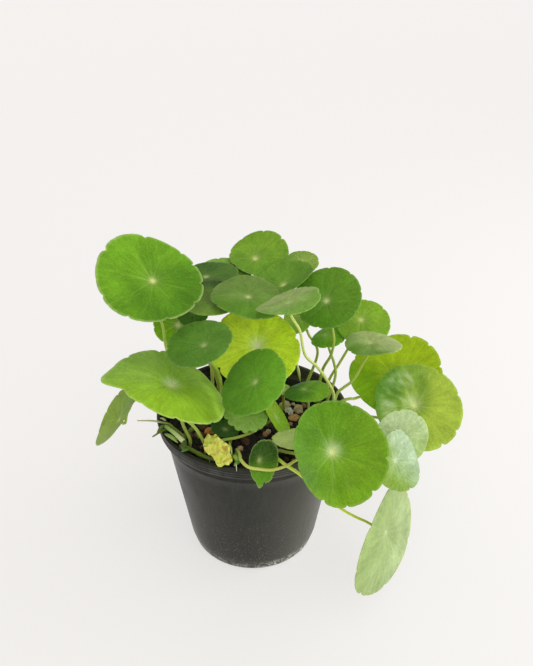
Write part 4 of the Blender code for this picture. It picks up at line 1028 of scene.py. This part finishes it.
def pot_profile():
    """The pot's wall in section, from the middle of the base outwards, up the outside and down the inside."""
    lip_foot = POT_HEIGHT - LIP_HEIGHT
    bead = lip_foot - BEAD_DROP
    ring_inside = FOOT_RADIUS - FOOT_ROUND - FOOT_RING
    outer = [(0.0, 0.0), (BOSS_RADIUS, 0.0), (BOSS_RADIUS + 0.001, BASE_RISE), (ring_inside, BASE_RISE),
             (ring_inside + 0.001, 0.0)]
    outer += arc(FOOT_ROUND, FOOT_RADIUS - FOOT_ROUND, FOOT_ROUND, -90, -14, 8)
    outer += [(wall_radius(z), z) for z in np.linspace(0.010, bead - 0.0012, 14)]
    outer += [(wall_radius(bead) + BEAD_STEP, bead - 0.0001), (wall_radius(bead) + BEAD_STEP, bead + 0.0007)]
    outer += [(wall_radius(z), z) for z in (bead + 0.0016, lip_foot - 0.0004)]
    step_out = wall_radius(lip_foot) + LIP_STEP
    outer += [(step_out - 0.0008, lip_foot - 0.0001), (step_out - 0.0001, lip_foot + 0.0002),
              (step_out, lip_foot + 0.0007)]
    for height in LIP_RINGS:
        place = wall_radius(lip_foot + height) + LIP_STEP
        outer += [(place, lip_foot + height - 0.0003), (place + 0.0002, lip_foot + height),
                  (place, lip_foot + height + 0.0003)]
    outer += arc(LIP_ROUND, POT_RADIUS - LIP_ROUND, POT_HEIGHT - LIP_ROUND, -10, 180, 5)
    inner = [(POT_RADIUS - WALL - LIP_ROUND, POT_HEIGHT - 0.0016), (step_out - WALL, lip_foot + WALL)]
    inner += [(wall_radius(z) - WALL, z) for z in (lip_foot, 0.05, 0.008)]
    inner += [(FOOT_RADIUS - WALL - 0.001, BASE_RISE + WALL), (0.0, BASE_RISE + WALL)]
    return outer + inner


def build_pot(material):
    """The nursery pot, turned from its section, with its drain holes cut."""
    profile = pot_profile()
    points = turned(profile[1:-1], POT_SEGMENTS)
    faces = quads(len(profile) - 2, POT_SEGMENTS)
    foot = len(points)
    last = foot - POT_SEGMENTS
    points += [(0, 0, profile[0][1]), (0, 0, profile[-1][1])]
    for k in range(POT_SEGMENTS):
        after = (k + 1) % POT_SEGMENTS
        faces += [(foot, after, k), (foot + 1, last + k, last + after)]
    pot = add_piece("pot_shell", points, faces, material, "pot_black", "pot")
    for spot in turned([(DRAIN_CIRCLE, BASE_RISE)], DRAIN_HOLES):
        bpy.ops.mesh.primitive_cylinder_add(vertices=32, radius=DRAIN_RADIUS, depth=3 * BASE_RISE,
                                            location=spot)
        boolean = pot.modifiers.new("drain", "BOOLEAN")
        boolean.operation = "DIFFERENCE"
        boolean.object = bpy.context.object
        boolean.solver = "EXACT"
    cutters = [modifier.object for modifier in pot.modifiers]
    graph = bpy.context.evaluated_depsgraph_get()
    graph.update()
    made = bpy.data.meshes.new_from_object(pot.evaluated_get(graph))
    pot.modifiers.clear()
    pot.data = made
    for cutter in cutters:
        bpy.data.objects.remove(cutter)
    pot.data.set_sharp_from_angle(angle=math.radians(50))


# The soil

def ball(level):
    """Points and faces of a unit ball of triangles."""
    bpy.ops.mesh.primitive_ico_sphere_add(subdivisions=level, radius=1)
    made = bpy.context.object
    points = [v.co.copy() for v in made.data.vertices]
    faces = [tuple(p.vertices) for p in made.data.polygons]
    bpy.data.objects.remove(made)
    return points, faces


BALLS = {level: ball(level) for level in (1, 2, 3)}


def lump(draw, place, half, level):
    """Points and faces of one rough stone."""
    points, faces = BALLS[level]
    offset = Vector((draw.uniform(0, 90), draw.uniform(0, 90), draw.uniform(0, 90)))
    spin = Matrix.Rotation(draw.uniform(0, math.tau), 3, "Z")
    spin = spin @ Matrix.Rotation(draw.uniform(-0.5, 0.5), 3, "X")
    stretch = Vector((draw.uniform(0.8, 1.25), draw.uniform(0.8, 1.1), STONE_HEIGHT))
    made = []
    for p in points:
        swell = 1 + 0.34 * noise.noise(p * 1.5 + offset) + 0.16 * noise.noise(p * 3.2 + offset)
        made.append(spin @ Vector((p.x * stretch.x, p.y * stretch.y, p.z * stretch.z)) * half * swell + place)
    return made, faces


def add_lumps(name, draw, rows, material):
    """One piece of rough stones; a row has the place, half width, fineness and colour of one."""
    points, faces, tones = [], [], []
    for x, y, height, half, level, tone in rows:
        made, shape = lump(draw, Vector((x, y, height)), half, level)
        faces += [tuple(len(points) + k for k in face) for face in shape]
        points += made
        if tone is not None:
            tones += [tone] * len(made)
    add_piece(name, points, faces, material, "soil", "soil", tones=tones or None)


def surface(x, y):
    """Height of the fine soil surface."""
    reach = math.hypot(x, y)
    edge = wall_radius(SOIL_TOP) - WALL
    rough = 0.0011 * noise.noise(Vector((x, y, 0)) * 110) + 0.0006 * noise.noise(Vector((x, y, 1)) * 330)
    drop = SOIL_EDGE_DROP * max(0.0, (reach - SOIL_FLAT) / (edge - SOIL_FLAT)) ** 1.5
    return soil_height(x, y) + rough - drop


def build_soil(soil, gravel):
    """The soil's body with a rough surface, then its stones and crumbs."""
    reach = wall_radius(SOIL_TOP - 0.006) - WALL - SOIL_GAP
    top = turned([(reach * row / SOIL_ROWS, 0) for row in range(1, SOIL_ROWS + 1)], SOIL_COLUMNS)
    points = [(x, y, surface(x, y)) for x, y, _ in top]
    sides = [(wall_radius(height) - WALL - 4 * SOIL_GAP, height) for height in SOIL_HEIGHTS]
    points += turned(sides, SOIL_COLUMNS)
    faces = [(a, d, c, b) for a, b, c, d in quads(SOIL_ROWS + len(SOIL_HEIGHTS), SOIL_COLUMNS)]
    middle = len(points)
    points.append((0, 0, surface(0, 0)))
    faces += [(middle, k, (k + 1) % SOIL_COLUMNS) for k in range(SOIL_COLUMNS)]
    faces.append(tuple(reversed(range(middle - SOIL_COLUMNS, middle))))
    add_piece("soil_body", points, faces, soil, "soil", "soil")
    build_gravel(gravel)
    build_crumbs(soil)


def build_gravel(gravel):
    """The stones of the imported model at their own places, smaller ones between them, and those that show."""
    draw = random.Random("soil")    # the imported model's own draws: its soil's bumps, then its stones
    for _ in range(SOIL_RINGS * SOIL_SEGMENTS):
        draw.uniform(-1, 1)
    spots = []
    for index in range(GRAVEL_COUNT):
        reach = GRAVEL_REACH * math.sqrt((index + 0.5) / GRAVEL_COUNT)
        angle = index * math.pi * (3 - math.sqrt(5)) + draw.uniform(-GRAVEL_SCATTER, GRAVEL_SCATTER)
        spots.append((reach * math.cos(angle), reach * math.sin(angle), draw.uniform(*GRAVEL_SIZE)))
    roots = [leaf.root for leaf in (*LEAVES, WITHERED)]
    clear = [s for s in spots if all(math.dist(s[:2], root) > s[2] * 1.2 + STALK_HOLE for root in roots)]
    scatter = random.Random("pebbles")
    for _ in range(PEBBLE_COUNT):
        reach, angle = PEBBLE_REACH * math.sqrt(scatter.random()), scatter.uniform(0, math.tau)
        spot = (reach * math.cos(angle), reach * math.sin(angle), scatter.uniform(*PEBBLE_SIZE))
        if all(math.dist(spot[:2], root) > spot[2] + 0.0016 for root in roots):
            clear.append(spot)
    stones = []
    for x, y, half in clear:
        if all(math.dist((x, y), pebble[:2]) > half + 0.0012 for pebble in PEBBLES):
            tone = linear(scatter.choice(STONE_TONES)) * scatter.uniform(0.75, 1.15)
            stones.append((x, y, surface(x, y) - half * GRAVEL_SINK, half, tone))
    stones += [(x, y, surface(x, y) + half * PEBBLE_LIFT, half, linear(tone)) for x, y, half, tone in PEBBLES]
    rows = [(x, y, height, half, 3 if half > FINE_STONE else 2, tone) for x, y, height, half, tone in stones]
    add_lumps("gravel", scatter, rows, gravel)


def build_crumbs(soil):
    """Small crumbs of soil over the surface; the place of each is drawn before its shape."""
    draw = random.Random("crumbs")

    def crumbs():
        for _ in range(CRUMB_COUNT):
            reach, angle = CRUMB_REACH * math.sqrt(draw.random()), draw.uniform(0, math.tau)
            x, y, half = reach * math.cos(angle), reach * math.sin(angle), draw.uniform(*CRUMB_SIZE)
            yield x, y, surface(x, y) + half * 0.2, half, 1, None
    add_lumps("soil_crumbs", draw, crumbs(), soil)


# The creeping stem

def add_twig(name, path, radius_of, tones, material):
    """A tube along a smooth curve through a few points, coloured from one end to the other."""
    path = [Vector(p) for p in path]
    knots = [path[0] * 2 - path[1], *path, path[-1] * 2 - path[-2]]
    line = even_points([*curve_through(knots, TWIG_STEPS), path[-1]], TWIG_PIECE)
    last = len(line) - 1
    radii = [radius_of(index / last) for index in range(last + 1)]
    tones = blend(linear(tones[0]), tones[1], np.linspace(0, 1, last + 1))
    add_tube(name, line, radii, TWIG_SIDES, tones, material, "runner", "runner")


def build_runner(material):
    """The creeping stem with its joints, growths and cut stub, and the scraps and rootlets beside it."""
    def swell(share):
        joints = sum(math.exp(-(((share - spot) / 0.03) ** 2)) for spot in (0.03, 0.36, 0.68, 0.97))
        return RUNNER_RADIUS * (0.95 + 0.25 * joints)

    def add_bit(name, base, tip, rise, radius_of, tones):
        middle = (Vector(base) + Vector(tip)) / 2 + Vector((0, 0, rise))
        add_twig(name, (base, middle, tip), radius_of, tones, material)

    add_twig("runner_stem", RUNNER_PATH, swell, RUNNER_TONES, material)
    for index, (base, tip, radius, taper, tones) in enumerate(RUNNER_GROWTHS):
        add_bit(f"runner_growth_{index + 1}", base, tip, 0.001,
                lambda share: radius * (1 + (taper - 1) * share), tones)
    base, tip, radius, tones = CUT_STUB
    add_bit("runner_cut_stub", base, tip, 0.0006, lambda share: radius * (0.85 + 0.2 * share**2), tones)
    for index, (base, tip, half, tone) in enumerate(SCRAPS):
        add_bit(f"scrap_{index + 1}", base, tip, half,
                lambda share: half * (0.12 + math.sin(math.pi * min(share, 0.98)) ** 0.7),
                (tone, tuple(min(255, c + 16) for c in tone)))
    for index, (base, tip, half, tone) in enumerate(ROOTLETS):
        add_bit(f"rootlet_{index + 1}", base, tip, 0.0008,
                lambda share: half * (1 - 0.6 * share), (tone, tone))


# The stage

def build_stage():
    """A pale floor, a soft white sky, a broad light from above the front and a panel at the right."""
    bpy.ops.mesh.primitive_plane_add(size=6, location=(0, 0, 0))
    floor = bpy.context.object
    floor.name = "floor"
    floor.data.materials.append(Graph("floor").surface({
        "Base Color": rgba(FLOOR_TONE), "Roughness": 0.6, "Emission Color": rgba(FLOOR_GLOW),
        "Emission Strength": 0.62}))
    world = bpy.data.worlds.new("sky")
    world.use_nodes = True
    world.node_tree.nodes["Background"].inputs["Color"].default_value = (1.0, 0.975, 0.955, 1.0)
    world.node_tree.nodes["Background"].inputs["Strength"].default_value = 0.55
    bpy.context.scene.world = world
    add_light("key", "SUN", (0.30, -0.80, 1.0), (0, 0, 0), 1.15, angle=math.radians(60))
    add_light("side", "AREA", (0.75, 0.10, 0.16), (0, 0, 0.04), 3.6, size=0.5)


def add_light(name, kind, place, aim, energy, **settings):
    """A light that looks from a place to a point; only the direction counts for a sun."""
    lamp = bpy.data.lights.new(name, kind)
    lamp.energy = energy
    for key, value in settings.items():
        setattr(lamp, key, value)
    made = bpy.data.objects.new(name, lamp)
    made.location = place
    made.rotation_euler = (Vector(aim) - Vector(place)).to_track_quat("-Z", "Y").to_euler()
    bpy.context.scene.collection.objects.link(made)


def add_camera():
    lens = bpy.data.cameras.new("camera")
    lens.sensor_width = SENSOR
    lens.lens = FOCAL_PIXELS / PHOTO_HEIGHT * SENSOR
    camera = bpy.data.objects.new("camera", lens)
    camera.location = CAMERA_PLACE
    camera.rotation_euler = [math.radians(a) for a in CAMERA_TURN]
    bpy.context.scene.collection.objects.link(camera)
    bpy.context.scene.camera = camera


def main():
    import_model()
    bpy.context.scene.view_settings.view_transform = "Standard"
    add_camera()
    build_stage()
    blades = {name: leaf_material(name, *looks) for name, looks in BLADES.items()}
    stalks = stalk_material()
    for leaf in (*LEAVES, WITHERED):
        build_blade(leaf, blades[leaf.paint])
        build_stalk(leaf, stalks)
    build_pot(pot_material())
    build_soil(soil_material(), stone_material())
    build_runner(stalks)
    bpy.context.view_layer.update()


main()
